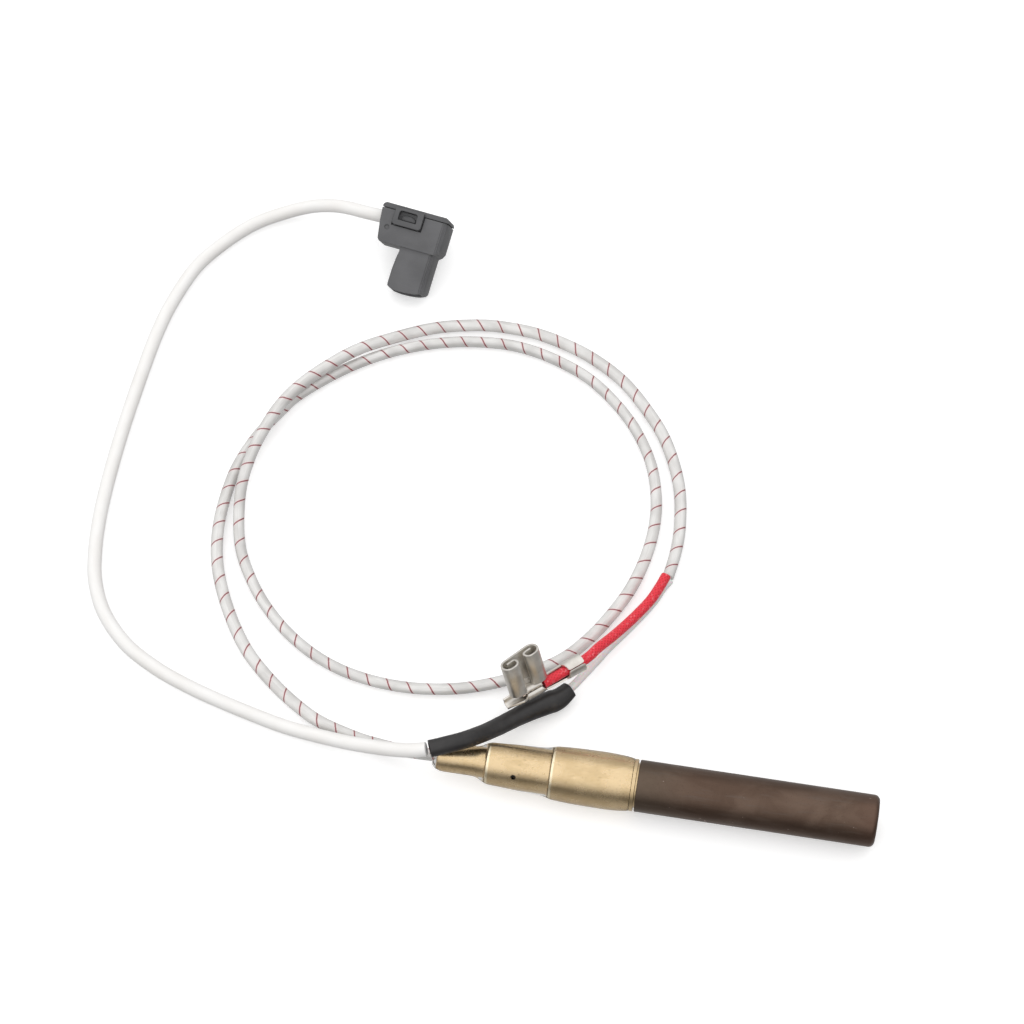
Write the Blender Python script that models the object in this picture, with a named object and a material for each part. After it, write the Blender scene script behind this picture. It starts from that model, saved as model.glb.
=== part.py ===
"""Thermopile pilot generator (multi-couple gas thermocouple) with its lead and two terminals.

Frame: metres, +Z up.  The probe lies on the surface z = 0 with its axis along +X, hot tip at
+X.  The origin is under the middle of the probe, on the surface it rests on.  The lead, the
spliced white cable and their terminals lie on the same surface on the +Y side.
"""
import math

import bmesh
import bpy
from mathutils import Matrix, Vector

# ---------------------------------------------------------------- driving dimensions (metres)
GAP = 0.0003                      # clearance kept between touching pieces
ROUND_SIDES = 32                  # facets round the probe's turned pieces
SMALL_SIDES = 16                  # facets round wires and rods

PROBE_HALF_LENGTH = 0.0435
AXIS_HEIGHT = 0.0055              # probe axis above the surface

SHEATH_RADIUS = 0.0050
SHEATH_WALL = 0.0004
SHEATH_TIP_RADIUS = 0.0011        # outer corner of the deep-drawn end
SHEATH_OPEN_X = -0.0024

BRASS_TAIL_X = -0.0409
BRASS_SHOULDER_1_X = -0.0315      # tail to middle step
BRASS_SHOULDER_2_X = -0.0191      # middle to large step
BRASS_FRONT_X = -0.0027           # face that the sheath butts against
BRASS_TAIL_RADIUS = 0.00240
BRASS_MIDDLE_RADIUS = 0.00355
BRASS_LARGE_RADIUS = 0.00460
BRASS_COLLAR_WIDTH = 0.0008
BRASS_CHAMFER = 0.0004
SPIGOT_RADIUS = 0.0043
SPIGOT_LENGTH = 0.0060
BORE_RADIUS = 0.0029
TAIL_BORE_RADIUS = 0.00160
BORE_STEP_X = -0.0300
VENT_DIAMETER = 0.0010
VENT_X = -0.0259
VENT_ELEVATION = math.radians(34.0)

SLEEVE_WALL = 0.00022

COUPLES = 10
ELEMENT_RING_RADIUS = 0.0031
ELEMENT_WIDTH = 0.00045
ELEMENT_DEPTH = 0.0009
ELEMENT_COLD_X = 0.0062
ELEMENT_HOT_X = 0.0400
FOOT_WIDTH = 0.0006
CORE_RADIUS = 0.0020
LINER_RADIUS = 0.0043
LINER_WALL = 0.0003
DISC_RADIUS = 0.0036
DISC_THICKNESS = 0.0005
SPACER_THICKNESS = 0.0009
PLUG_LENGTH = 0.0026
TAIL_WIRE_RADIUS = 0.0003
TAIL_WIRE_OFFSET = 0.00085
TAIL_WIRE_START_X = -0.0355

LEAD_RADIUS = 0.00125
RED_SLEEVE_RADIUS = 0.00105
NEGATIVE_RADIUS = 0.00085
WHITE_RADIUS = 0.00145

FLAG_TERMINAL = {
    "barrel": (0.0000, 0.0018, 0.0036, 0.0042, 0.0078, 0.0086, 0.0131, 0.0137, 0.0168, 0.0172),
    "radius": (0.0012, 0.0012, 0.00122, 0.00125, 0.00125, 0.0013, 0.0015, 0.00155, 0.00155, 0.0016),
    "opening": (120.0, 110.0, 80.0, 10.0, 10.0, 78.0, 78.0, 8.0, 8.0, 12.0),
    "width": 0.0081, "height": 0.0075, "bottom": 0.0017, "centre": 0.0052,
    "roll": 0.0012, "bend": 0.0007, "inner": 0.0010, "lip": 0.00033, "lip_end": 0.0029,
    "plate_offset": 0.0012, "thickness": 0.0004, "facing": 150.0,
}
STRANDS_X = (0.0036, 0.0080)
STRANDS_RADIUS = 0.0005
FLAG_TERMINAL_TWIST = math.radians(8.0)
FLAG_TERMINAL_PLACE = (-0.02965, 0.01224, 0.0066)
FLAG_TERMINAL_AXIS = (0.750, 0.661, 0.0)
FLAG_TERMINAL_UP = (-0.296, 0.336, 0.935)

SMALL_TERMINAL = {
    "barrel": (0.0000, 0.0004, 0.0030, 0.0036, 0.0046, 0.0052, 0.0074, 0.0078),
    "radius": (0.0010, 0.0009, 0.0009, 0.0010, 0.0010, 0.0011, 0.0011, 0.0011),
    "opening": (30.0, 10.0, 10.0, 70.0, 70.0, 12.0, 12.0, 20.0),
    "width": 0.0050, "height": 0.0078, "bottom": 0.0014, "centre": 0.0026,
    "roll": 0.0008, "bend": 0.00045, "inner": 0.0006, "lip": 0.00022, "lip_end": 0.0017,
    "plate_offset": 0.0009, "thickness": 0.0003, "facing": 180.0,
}

# Connector housing, in its own frame: x from the cable side, y from the mating tip, z from
# the underside of the block.
CONNECTOR_WIDTH = 0.0144
CONNECTOR_THICKNESS = 0.0062
BLOCK_FRONT = 0.0090
BLOCK_BACK = 0.01585
BLOCK_TAPER = 0.0011
BLOCK_CORNER = 0.0009
BLOCK_WALL = 0.0012
BLOCK_ROOM = (0.0010, 0.0048)
MATE_LEFT = 0.0055
MATE_RIGHT = 0.0135
MATE_BOTTOM = 0.0009
MATE_TOP = 0.0057
MATE_TIP = [(0.0055, 0.0012), (0.0056, 0.0006), (0.0063, 0.0002), (0.0081, 0.0), (0.0098, 0.00005),
            (0.0120, 0.00035), (0.0131, 0.0008), (0.0135, 0.0015)]
MATE_WAIST = 0.0005
MATE_WALL = 0.0009
CABLE_Y = 0.0141
CABLE_Z = 0.0031
CABLE_SLOT = 0.00178
COVER_FRONT = 0.01615
COVER_BACK = 0.01715
HINGE_Y = 0.01665
HINGE_Z = 0.0004
HINGE_BEAD = 0.0004
LATCH_LEFT = 0.0030
LATCH_RIGHT = 0.0092
LATCH_FRONT = 0.0130
LATCH_BOTTOM = 0.0057
LATCH_TOP = 0.0070
LATCH_POCKET = 0.00027
WINDOW_LEFT = 0.0040
WINDOW_RIGHT = 0.0080
WINDOW_FRONT = 0.0141
CATCH_LEFT = 0.0044
CATCH_RIGHT = 0.0076
CATCH_FRONT = 0.0144
CATCH_BACK = 0.0153
CATCH_TOP = (0.00553, 0.00578)
CRIMP_END_X = 0.0118
CONDUCTOR_X = (0.0022, 0.0110)
CONDUCTOR_RADIUS = 0.00045
CONNECTOR_PLACE = (-0.074735, 0.105851, -0.001047)
CONNECTOR_TURN = math.radians(-9.2)
CONNECTOR_PITCH = math.radians(24.0)
CONNECTOR_ROLL = math.radians(-2.0)

# Routes, chosen by hand: points that each flexible piece passes through.
LEAD_ROUTE = [
    (-0.0360, 0.0000, 0.0055), (-0.0410, 0.0000, 0.0055), (-0.0445, 0.0000, 0.0053),
    (-0.0485, 0.0007, 0.0038), (-0.0530, 0.0019, 0.0021), (-0.0575, 0.0029, 0.00135),
    (-0.0648, 0.0050, 0.00128), (-0.0700, 0.0077, 0.00128), (-0.0760, 0.0120, 0.00128),
    (-0.0821, 0.0178, 0.00128), (-0.0870, 0.0250, 0.00128), (-0.0909, 0.0332, 0.00128),
    (-0.0928, 0.0405, 0.00128), (-0.0933, 0.0480, 0.00128), (-0.0924, 0.0572, 0.00128),
    (-0.0898, 0.0652, 0.00128), (-0.0862, 0.0717, 0.00128), (-0.0830, 0.0764, 0.00128),
    (-0.0760, 0.0830, 0.00128), (-0.0688, 0.0880, 0.00128), (-0.0610, 0.0917, 0.00128),
    (-0.0529, 0.0940, 0.00128), (-0.0447, 0.0949, 0.00128), (-0.0383, 0.0944, 0.00128),
    (-0.0318, 0.0926, 0.00128), (-0.0253, 0.0896, 0.00128), (-0.0196, 0.0852, 0.00128),
    (-0.0145, 0.0797, 0.00128), (-0.0104, 0.0729, 0.00128), (-0.0082, 0.0662, 0.00128),
    (-0.0073, 0.0594, 0.00128), (-0.0078, 0.0519, 0.00128), (-0.0097, 0.0441, 0.00128),
    (-0.0126, 0.0376, 0.00128), (-0.0161, 0.0317, 0.00128), (-0.0205, 0.0264, 0.00128),
    (-0.0267, 0.0220, 0.00128), (-0.0330, 0.0189, 0.00128), (-0.0395, 0.0166, 0.00128),
    (-0.0460, 0.0154, 0.00128), (-0.0520, 0.0151, 0.00128), (-0.0580, 0.0156, 0.00128),
    (-0.0640, 0.0170, 0.00128), (-0.0699, 0.0196, 0.00128), (-0.0759, 0.0237, 0.00128),
    (-0.0815, 0.0293, 0.00128), (-0.0857, 0.0354, 0.00135), (-0.0881, 0.0405, 0.0017),
    (-0.0895, 0.0466, 0.0027), (-0.0901, 0.0530, 0.0036), (-0.0895, 0.0598, 0.0040),
    (-0.0882, 0.0655, 0.0041), (-0.0861, 0.0715, 0.0041), (-0.0829, 0.0770, 0.0041),
    (-0.0780, 0.0827, 0.0040), (-0.0726, 0.0877, 0.0036), (-0.0660, 0.0924, 0.0022),
    (-0.0580, 0.0966, 0.00128), (-0.0494, 0.0986, 0.00128), (-0.0430, 0.0989, 0.00128),
    (-0.0366, 0.0983, 0.00128), (-0.0293, 0.0962, 0.00128), (-0.0233, 0.0934, 0.00128),
    (-0.0179, 0.0897, 0.00128), (-0.0131, 0.0848, 0.00128), (-0.0086, 0.0790, 0.00128),
    (-0.0053, 0.0724, 0.00128), (-0.0032, 0.0658, 0.00128), (-0.0022, 0.0580, 0.00128),
    (-0.0023, 0.0525, 0.00128), (-0.0030, 0.0471, 0.00128),
]
RED_SLEEVE_ROUTE = [
    (-0.0034, 0.0466, 0.00275), (-0.0043, 0.0439, 0.0029), (-0.0056, 0.0408, 0.0030),
    (-0.0074, 0.0377, 0.0032), (-0.0094, 0.0345, 0.0037), (-0.0117, 0.0309, 0.0047),
    (-0.0140, 0.0275, 0.0059), (-0.0153, 0.0253, 0.0065), (-0.0166, 0.02375, 0.0066),
    (-0.0182, 0.0224, 0.0066), (-0.0209, 0.0200, 0.0066), (-0.02335, 0.0178, 0.0066),
]
NEGATIVE_ROUTE = [
    (-0.0026, 0.0467, 0.00088), (-0.0037, 0.0448, 0.00088), (-0.0049, 0.0419, 0.00088),
    (-0.0065, 0.0390, 0.00088), (-0.0084, 0.0360, 0.00088), (-0.0103, 0.0331, 0.00088),
    (-0.0124, 0.0300, 0.00095), (-0.0141, 0.0270, 0.0012), (-0.0158, 0.0238, 0.0018),
    (-0.0174, 0.0209, 0.0023), (-0.0184, 0.0193, 0.0026), (-0.0193, 0.0181, 0.0026),
]
SHRINK_ROUTE = [
    (-0.0423, -0.0010, 0.0104), (-0.0383, 0.0008, 0.0104), (-0.0352, 0.0028, 0.0095),
    (-0.0316, 0.0068, 0.0061), (-0.0276, 0.0112, 0.0036), (-0.0249, 0.0136, 0.0029),
    (-0.0221, 0.0156, 0.0027), (-0.0202, 0.0169, 0.0026), (-0.0184, 0.01915, 0.0026),
]
SHRINK_RADII = [0.00174, 0.00174, 0.00174, 0.00176, 0.0018, 0.0019, 0.0021, 0.0024, 0.0018]
SHRINK_WALL = 0.0005
WHITE_ROUTE = [
    (-0.0430, -0.0012, 0.0104), (-0.0455, -0.0016, 0.0098), (-0.0495, -0.0013, 0.0082),
    (-0.0545, -0.0004, 0.0059), (-0.0595, 0.0006, 0.0039), (-0.0655, 0.0018, 0.0023),
    (-0.0715, 0.0029, 0.00155), (-0.0780, 0.0044, 0.00148), (-0.0852, 0.0063, 0.00148),
    (-0.0917, 0.0083, 0.00148), (-0.0987, 0.0111, 0.00148), (-0.1058, 0.0153, 0.00148),
    (-0.1115, 0.0213, 0.00148), (-0.1148, 0.0279, 0.00148), (-0.1163, 0.0346, 0.00148),
    (-0.1170, 0.0414, 0.00148), (-0.1172, 0.0483, 0.00148), (-0.1171, 0.0553, 0.00148),
    (-0.1168, 0.0625, 0.00148), (-0.1163, 0.0697, 0.00148), (-0.1157, 0.0770, 0.00148),
    (-0.1148, 0.0855, 0.00148), (-0.1133, 0.0933, 0.00148), (-0.1102, 0.1026, 0.00148),
    (-0.1059, 0.1092, 0.00148), (-0.1006, 0.1149, 0.00155), (-0.0951, 0.1183, 0.0020),
    (-0.0893, 0.1200, 0.0036), (-0.0845, 0.1197, 0.0057), (-0.0808, 0.1190, 0.0069),
    (-0.0768, 0.11825, 0.0073), (-0.0727, 0.11765, 0.0075), (-0.0710, 0.11735, 0.0075),
]


# ---------------------------------------------------------------- helpers
def clear_scene():
    for obj in list(bpy.data.objects):
        bpy.data.objects.remove(obj, do_unlink=True)


def material(name, colour, roughness, metallic=0.0, alpha=1.0):
    mat = bpy.data.materials.new(name)
    mat.use_nodes = True
    shader = mat.node_tree.nodes["Principled BSDF"]
    shader.inputs["Base Color"].default_value = (*colour, 1.0)
    shader.inputs["Roughness"].default_value = roughness
    shader.inputs["Metallic"].default_value = metallic
    shader.inputs["Alpha"].default_value = alpha
    mat.diffuse_color = (*colour, alpha)
    return mat


def add_object(name, data, mat=None):
    obj = bpy.data.objects.new(name, data)
    bpy.context.collection.objects.link(obj)
    if mat:
        data.materials.append(mat)
    return obj


def mesh_object(name, bm, mat=None, smooth=True):
    bmesh.ops.recalc_face_normals(bm, faces=bm.faces)
    mesh = bpy.data.meshes.new(name)
    bm.to_mesh(mesh)
    bm.free()
    if smooth:
        mesh.shade_smooth()
        mesh.set_sharp_from_angle(angle=math.radians(35))
    return add_object(name, mesh, mat)


def as_cutter(obj):
    obj.hide_render = True
    obj.display_type = "WIRE"
    return obj


def boolean(obj, other, operation):
    modifier = obj.modifiers.new(f"{operation.lower()}_{other.name}", "BOOLEAN")
    modifier.operation = operation
    modifier.solver = "EXACT"
    modifier.object = as_cutter(other)


def bridge_rings(bm, lower, upper):
    """Faces between two rings of vertices; a ring of one vertex closes to a fan."""
    count = max(len(lower), len(upper))
    for i in range(count):
        j = (i + 1) % count
        if len(lower) == 1:
            bm.faces.new((lower[0], upper[j], upper[i]))
        elif len(upper) == 1:
            bm.faces.new((lower[i], lower[j], upper[0]))
        else:
            bm.faces.new((lower[i], lower[j], upper[j], upper[i]))


def turned(name, profile, mat, closed_loop=False, sides=ROUND_SIDES, y=0.0, z=AXIS_HEIGHT):
    """Revolve (x, radius) points about the line through (y, z) along X.

    A closed loop makes a tube or a cup; an open profile starts and ends on the axis."""
    bm = bmesh.new()
    rings = []
    for x, radius in profile:
        if radius < 1e-6:
            rings.append([bm.verts.new((x, y, z))])
            continue
        ring = []
        for k in range(sides):
            angle = 2 * math.pi * k / sides
            ring.append(bm.verts.new((x, y + radius * math.cos(angle), z + radius * math.sin(angle))))
        rings.append(ring)
    for lower, upper in zip(rings, rings[1:]):
        if len(lower) > 1 or len(upper) > 1:
            bridge_rings(bm, lower, upper)
    if closed_loop:
        bridge_rings(bm, rings[-1], rings[0])
    return mesh_object(name, bm, mat)


def rod(name, x0, x1, radius, mat, y=0.0, z=AXIS_HEIGHT, sides=SMALL_SIDES):
    return turned(name, [(x0, 0), (x0, radius), (x1, radius), (x1, 0)], mat, sides=sides, y=y, z=z)


def pipe(name, x0, x1, radius, wall, mat, sides=ROUND_SIDES):
    profile = [(x0, radius - wall), (x0, radius), (x1, radius), (x1, radius - wall)]
    return turned(name, profile, mat, closed_loop=True, sides=sides)


def catmull_rom(points, samples):
    """Evenly spaced points on a smooth curve through the given points."""
    pts = [Vector(p) for p in points]
    pts = [2 * pts[0] - pts[1]] + pts + [2 * pts[-1] - pts[-2]]
    fine = []
    for p0, p1, p2, p3 in zip(pts, pts[1:], pts[2:], pts[3:]):
        for step in range(12):
            t = step / 12
            fine.append(0.5 * (2 * p1 + (p2 - p0) * t + (2 * p0 - 5 * p1 + 4 * p2 - p3) * t * t
                               + (3 * p1 - p0 - 3 * p2 + p3) * t ** 3))
    fine.append(pts[-2].copy())
    run = [0.0]
    for a, b in zip(fine, fine[1:]):
        run.append(run[-1] + (b - a).length)
    out = []
    k = 0
    for i in range(samples):
        target = run[-1] * i / (samples - 1)
        while k < len(run) - 2 and run[k + 1] < target:
            k += 1
        share = (target - run[k]) / max(run[k + 1] - run[k], 1e-9)
        out.append(fine[k].lerp(fine[k + 1], share))
    return out


def cord(name, route, radius, samples, mat):
    """Plain round tube along a smooth route."""
    curve = bpy.data.curves.new(name, "CURVE")
    curve.dimensions = "3D"
    curve.bevel_depth = radius
    curve.bevel_resolution = 2
    curve.use_fill_caps = True
    spline = curve.splines.new("POLY")
    places = catmull_rom(route, samples)
    spline.points.add(len(places) - 1)
    for point, place in zip(spline.points, places):
        point.co = (*place, 1.0)
    return add_object(name, curve, mat)


def loft_along(name, route, outer, inner, samples, sides, mat):
    """Hollow sleeve along a route, with its outer and inner radius given at the route's points."""
    places = catmull_rom(route, samples)
    bm = bmesh.new()
    outside = []
    inside = []
    side = Vector((0, 0, 1))
    for i, place in enumerate(places):
        ahead = (places[min(i + 1, samples - 1)] - places[max(i - 1, 0)]).normalized()
        side = (side - ahead * side.dot(ahead)).normalized()
        across = ahead.cross(side)
        share = i / (samples - 1) * (len(outer) - 1)
        k = min(int(share), len(outer) - 2)
        share -= k
        rings = []
        for radii in (outer, inner):
            radius = radii[k] * (1 - share) + radii[k + 1] * share
            ring = []
            for n in range(sides):
                angle = 2 * math.pi * n / sides
                ring.append(bm.verts.new(place + radius * (side * math.cos(angle) + across * math.sin(angle))))
            rings.append(ring)
        outside.append(rings[0])
        inside.append(rings[1])
    for a, b in zip(outside, outside[1:]):
        bridge_rings(bm, a, b)
    for a, b in zip(inside, inside[1:]):
        bridge_rings(bm, b, a)
    bridge_rings(bm, inside[0], outside[0])
    bridge_rings(bm, outside[-1], inside[-1])
    return mesh_object(name, bm, mat)


def box(name, low, high, mat=None, bevel=0.0):
    bm = bmesh.new()
    bmesh.ops.create_cube(bm, size=1.0)
    for vert in bm.verts:
        for axis in range(3):
            vert.co[axis] = low[axis] if vert.co[axis] < 0 else high[axis]
    if bevel:
        bmesh.ops.bevel(bm, geom=list(bm.edges), offset=bevel, segments=2, profile=0.5,
                        affect="EDGES")
    return mesh_object(name, bm, mat)


def prism(name, outline, z0, z1, mat=None, bevel=0.0):
    """Outline in XY, given anticlockwise, extruded from z0 to z1."""
    bm = bmesh.new()
    lower = [bm.verts.new((x, y, z0)) for x, y in outline]
    upper = [bm.verts.new((x, y, z1)) for x, y in outline]
    bm.faces.new(list(reversed(lower)))
    bm.faces.new(upper)
    bridge_rings(bm, lower, upper)
    if bevel:
        bm.normal_update()
        sharp = [edge for edge in bm.edges if edge.calc_face_angle(0.0) > math.radians(25)]
        bmesh.ops.bevel(bm, geom=sharp, offset=bevel, segments=2, profile=0.5, affect="EDGES",
                        clamp_overlap=True)
    return mesh_object(name, bm, mat)


def arc(centre, radius, start, end, steps):
    points = []
    for i in range(steps + 1):
        angle = math.radians(start + (end - start) * i / steps)
        points.append((centre[0] + radius * math.cos(angle), centre[1] + radius * math.sin(angle)))
    return points


# ---------------------------------------------------------------- probe
def make_sheath(mat):
    """Deep-drawn stainless cup that sits in the flame, open towards the brass."""
    tip = PROBE_HALF_LENGTH
    outer = SHEATH_RADIUS
    inner = outer - SHEATH_WALL
    corner = SHEATH_TIP_RADIUS
    bend = corner - SHEATH_WALL
    profile = [(SHEATH_OPEN_X, inner), (SHEATH_OPEN_X, outer)]
    profile += arc((tip - corner, outer - corner), corner, 90, 0, 4)
    profile += [(tip, 0), (tip - SHEATH_WALL, 0)]
    profile += arc((tip - corner, outer - corner), bend, 0, 90, 3)
    return turned("hot_sheath", profile, mat, closed_loop=True)


def make_brass(mat):
    """Stepped brass housing with a spigot for the sheath, a through bore and a vent hole."""
    c = BRASS_CHAMFER
    spigot_end = BRASS_FRONT_X + SPIGOT_LENGTH
    collar_x = BRASS_FRONT_X - BRASS_COLLAR_WIDTH
    profile = [
        (BRASS_TAIL_X, TAIL_BORE_RADIUS), (BRASS_TAIL_X, BRASS_TAIL_RADIUS - c / 2),
        (BRASS_TAIL_X + c / 2, BRASS_TAIL_RADIUS), (BRASS_SHOULDER_1_X, BRASS_TAIL_RADIUS),
        (BRASS_SHOULDER_1_X, BRASS_MIDDLE_RADIUS - c), (BRASS_SHOULDER_1_X + c, BRASS_MIDDLE_RADIUS),
        (BRASS_SHOULDER_2_X, BRASS_MIDDLE_RADIUS), (BRASS_SHOULDER_2_X, BRASS_LARGE_RADIUS - c),
        (BRASS_SHOULDER_2_X + c, BRASS_LARGE_RADIUS), (collar_x, BRASS_LARGE_RADIUS),
        (collar_x, SHEATH_RADIUS), (BRASS_FRONT_X, SHEATH_RADIUS), (BRASS_FRONT_X, SPIGOT_RADIUS),
        (spigot_end, SPIGOT_RADIUS), (spigot_end, BORE_RADIUS), (BORE_STEP_X, BORE_RADIUS),
        (BORE_STEP_X, TAIL_BORE_RADIUS),
    ]
    housing = turned("brass_housing", profile, mat, closed_loop=True)
    drill = rod("vent_drill", 0.0, 2 * BRASS_MIDDLE_RADIUS, VENT_DIAMETER / 2, None, z=0.0, sides=12)
    towards_minus_y = Matrix.Rotation(-math.pi / 2, 4, "Z")
    raised = Matrix.Rotation(-VENT_ELEVATION, 4, "X")
    drill.matrix_world = Matrix.Translation((VENT_X, 0, AXIS_HEIGHT)) @ raised @ towards_minus_y
    boolean(housing, drill, "DIFFERENCE")
    return housing


def make_clear_sleeve(mat):
    """Clear heat-shrink sleeve over the brass steps and the start of the lead."""
    outline = [
        (-0.0435, 0.00178), (-0.0425, 0.00210), (-0.0412, 0.00272), (-0.0398, 0.00288),
        (-0.0340, 0.00292), (-0.0328, 0.00322), (-0.0319, 0.00370), (-0.0310, 0.00404),
        (-0.0290, 0.00417), (-0.0255, 0.00438), (-0.0215, 0.00454), (-0.0198, 0.00478),
        (-0.0187, 0.00510), (-0.0160, 0.00532), (-0.0120, 0.00547), (-0.0085, 0.00550),
        (-0.0060, 0.00545), (-0.0040, 0.00525),
    ]
    profile = outline + [(x, radius - SLEEVE_WALL) for x, radius in reversed(outline)]
    return turned("clear_shrink_sleeve", profile, mat, closed_loop=True)


def element(name, outline, angle, mat):
    """Strip cut to an outline of (x, distance round the ring) and laid on the ring of elements."""
    depth = ELEMENT_DEPTH / 2
    piece = prism(name, outline, ELEMENT_RING_RADIUS - depth, ELEMENT_RING_RADIUS + depth, mat)
    for vert in piece.data.vertices:
        x, along, radius = vert.co
        turn = angle + along / ELEMENT_RING_RADIUS
        vert.co = (x, radius * math.sin(turn), AXIS_HEIGHT + radius * math.cos(turn))
    return piece


def make_elements(positive_mat, negative_mat):
    """Ring of alternating element strips in series.

    Each positive strip has a foot at both ends that is welded to the negative strips beside
    it: one at the hot end, the other at the cold end."""
    pitch = math.pi / COUPLES
    spacing = pitch * ELEMENT_RING_RADIUS
    half = ELEMENT_WIDTH / 2
    hot = ELEMENT_HOT_X + GAP
    cold = ELEMENT_COLD_X - GAP
    negative = [(ELEMENT_COLD_X, -half), (ELEMENT_HOT_X, -half), (ELEMENT_HOT_X, half), (ELEMENT_COLD_X, half)]
    hot_foot = [(hot + FOOT_WIDTH, -half), (hot + FOOT_WIDTH, spacing + half), (hot, spacing + half),
                (hot, half)]
    cold_foot = [(cold, half), (cold - FOOT_WIDTH, half), (cold - FOOT_WIDTH, -spacing - half),
                 (cold, -spacing - half), (cold, -half)]
    plain_end = [(ELEMENT_COLD_X, half), (ELEMENT_COLD_X, -half)]
    for k in range(COUPLES):
        positive = hot_foot + (cold_foot if k else plain_end)
        element(f"positive_element_{k + 1:02d}", positive, 2 * k * pitch, positive_mat)
        element(f"negative_element_{k + 1:02d}", negative, (2 * k + 1) * pitch, negative_mat)


def drilled_disc(name, x0, x1, radius, mat):
    """Disc with two holes for the tail wires."""
    disc = rod(name, x0, x1, radius, mat, sides=ROUND_SIDES)
    for side in (-1, 1):
        hole = rod(f"{name}_hole_{side + 1}", x0 - 0.001, x1 + 0.001, TAIL_WIRE_RADIUS + GAP, None,
                   y=side * TAIL_WIRE_OFFSET, sides=12)
        boolean(disc, hole, "DIFFERENCE")
    return disc


def make_probe(mats):
    make_sheath(mats["sheath"])
    make_brass(mats["brass"])
    make_clear_sleeve(mats["clear"])
    spigot_end = BRASS_FRONT_X + SPIGOT_LENGTH
    sheath_floor = PROBE_HALF_LENGTH - SHEATH_WALL
    disc_x = sheath_floor - GAP - DISC_THICKNESS
    spacer_end = spigot_end + GAP + SPACER_THICKNESS
    pipe("mica_liner", spacer_end + GAP, disc_x - GAP, LINER_RADIUS, LINER_WALL, mats["mica"])
    rod("tip_disc", disc_x, disc_x + DISC_THICKNESS, DISC_RADIUS, mats["mica"], sides=ROUND_SIDES)
    rod("ceramic_core", ELEMENT_COLD_X, ELEMENT_HOT_X, CORE_RADIUS, mats["ceramic"], sides=24)
    make_elements(mats["positive"], mats["negative"])
    drilled_disc("cold_end_spacer", spigot_end + GAP, spacer_end, SPIGOT_RADIUS, mats["ceramic"])
    plug_x = BORE_STEP_X + GAP
    drilled_disc("cement_plug", plug_x, plug_x + PLUG_LENGTH, BORE_RADIUS - GAP, mats["cement"])
    for name, side in (("positive_tail_wire", 1), ("negative_tail_wire", -1)):
        rod(name, TAIL_WIRE_START_X, spacer_end + GAP, TAIL_WIRE_RADIUS, mats["wire"],
            y=side * TAIL_WIRE_OFFSET, sides=10)


# ---------------------------------------------------------------- crimp terminals
def barrel_shell(bm, spec):
    """Wrap of sheet metal along X: cut-off tab, closed crimps, and the open trough between.

    The wrap's gap faces the angle "facing", counted from the back of the floor upwards."""
    half = spec["thickness"] / 2
    steps = 12
    outside = []
    inside = []
    for x, radius, opening in zip(spec["barrel"], spec["radius"], spec["opening"]):
        outer = []
        inner = []
        for n in range(steps + 1):
            angle = math.radians(spec["facing"] + opening + (360.0 - 2 * opening) * n / steps)
            for ring, r in ((outer, radius + half), (inner, radius - half)):
                ring.append(bm.verts.new((x, r * math.cos(angle), r * math.sin(angle))))
        outside.append(outer)
        inside.append(inner)
    for (o0, o1), (i0, i1) in zip(zip(outside, outside[1:]), zip(inside, inside[1:])):
        for n in range(steps):
            bm.faces.new((o0[n], o0[n + 1], o1[n + 1], o1[n]))
            bm.faces.new((i0[n + 1], i0[n], i1[n], i1[n + 1]))
        for n in (0, steps):
            bm.faces.new((o0[n], o1[n], i1[n], i0[n]))
    for outer, inner in ((outside[0], inside[0]), (outside[-1], inside[-1])):
        for n in range(steps):
            bm.faces.new((outer[n], inner[n], inner[n + 1], outer[n + 1]))


def receptacle_outline(spec):
    """Section of the female tab receptacle.

    The floor's two edges roll to the front and back in, and their free edges lie flat inside
    the rolls, where they press the tab against the floor."""
    roll, bend, inner, lip = spec["roll"], spec["bend"], spec["inner"], spec["lip"]
    turn = bend / 2
    reach = (spec["width"] - spec["thickness"]) / 2 - roll
    half = [(0.0, roll)] + arc((reach, 0.0), roll, 90, -90, 8)
    half += arc((inner + bend, bend - roll), bend, -90, -180, 4)
    half += arc((inner + turn, lip - turn), turn, 180, 90, 3)
    half += [(spec["lip_end"], lip)]
    path = [Vector((-x, y)) for x, y in reversed(half[1:])] + [Vector(point) for point in half]
    near = []
    far = []
    for k, point in enumerate(path):
        ahead = (path[min(k + 1, len(path) - 1)] - path[max(k - 1, 0)]).normalized()
        aside = Vector((-ahead.y, ahead.x)) * spec["thickness"] / 2
        near.append(point + aside)
        far.append(point - aside)
    return [tuple(point) for point in far + near[::-1]]


def make_flag_terminal(name, spec, twist, mat, place):
    """Crimp barrel with a tab receptacle standing square to it, as one stamping."""
    bm = bmesh.new()
    barrel_shell(bm, spec)
    terminal = mesh_object(name, bm, mat)
    receptacle = prism(f"{name}_receptacle", receptacle_outline(spec), spec["bottom"],
                       spec["bottom"] + spec["height"])
    turn = Matrix.Translation((spec["centre"], spec["plate_offset"], 0)) @ Matrix.Rotation(twist, 4, "Z")
    receptacle.data.transform(turn @ Matrix.Translation((0, -spec["roll"], 0)))
    half = spec["thickness"] / 2
    neck = box(f"{name}_neck",
               (spec["centre"] - 0.26 * spec["width"], spec["plate_offset"] - half, -0.0002),
               (spec["centre"] + 0.26 * spec["width"], spec["plate_offset"] + half, spec["bottom"] + 0.0006))
    for other in (neck, receptacle):
        boolean(terminal, other, "UNION")
        other.matrix_world = place
    terminal.matrix_world = place
    return terminal


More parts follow.
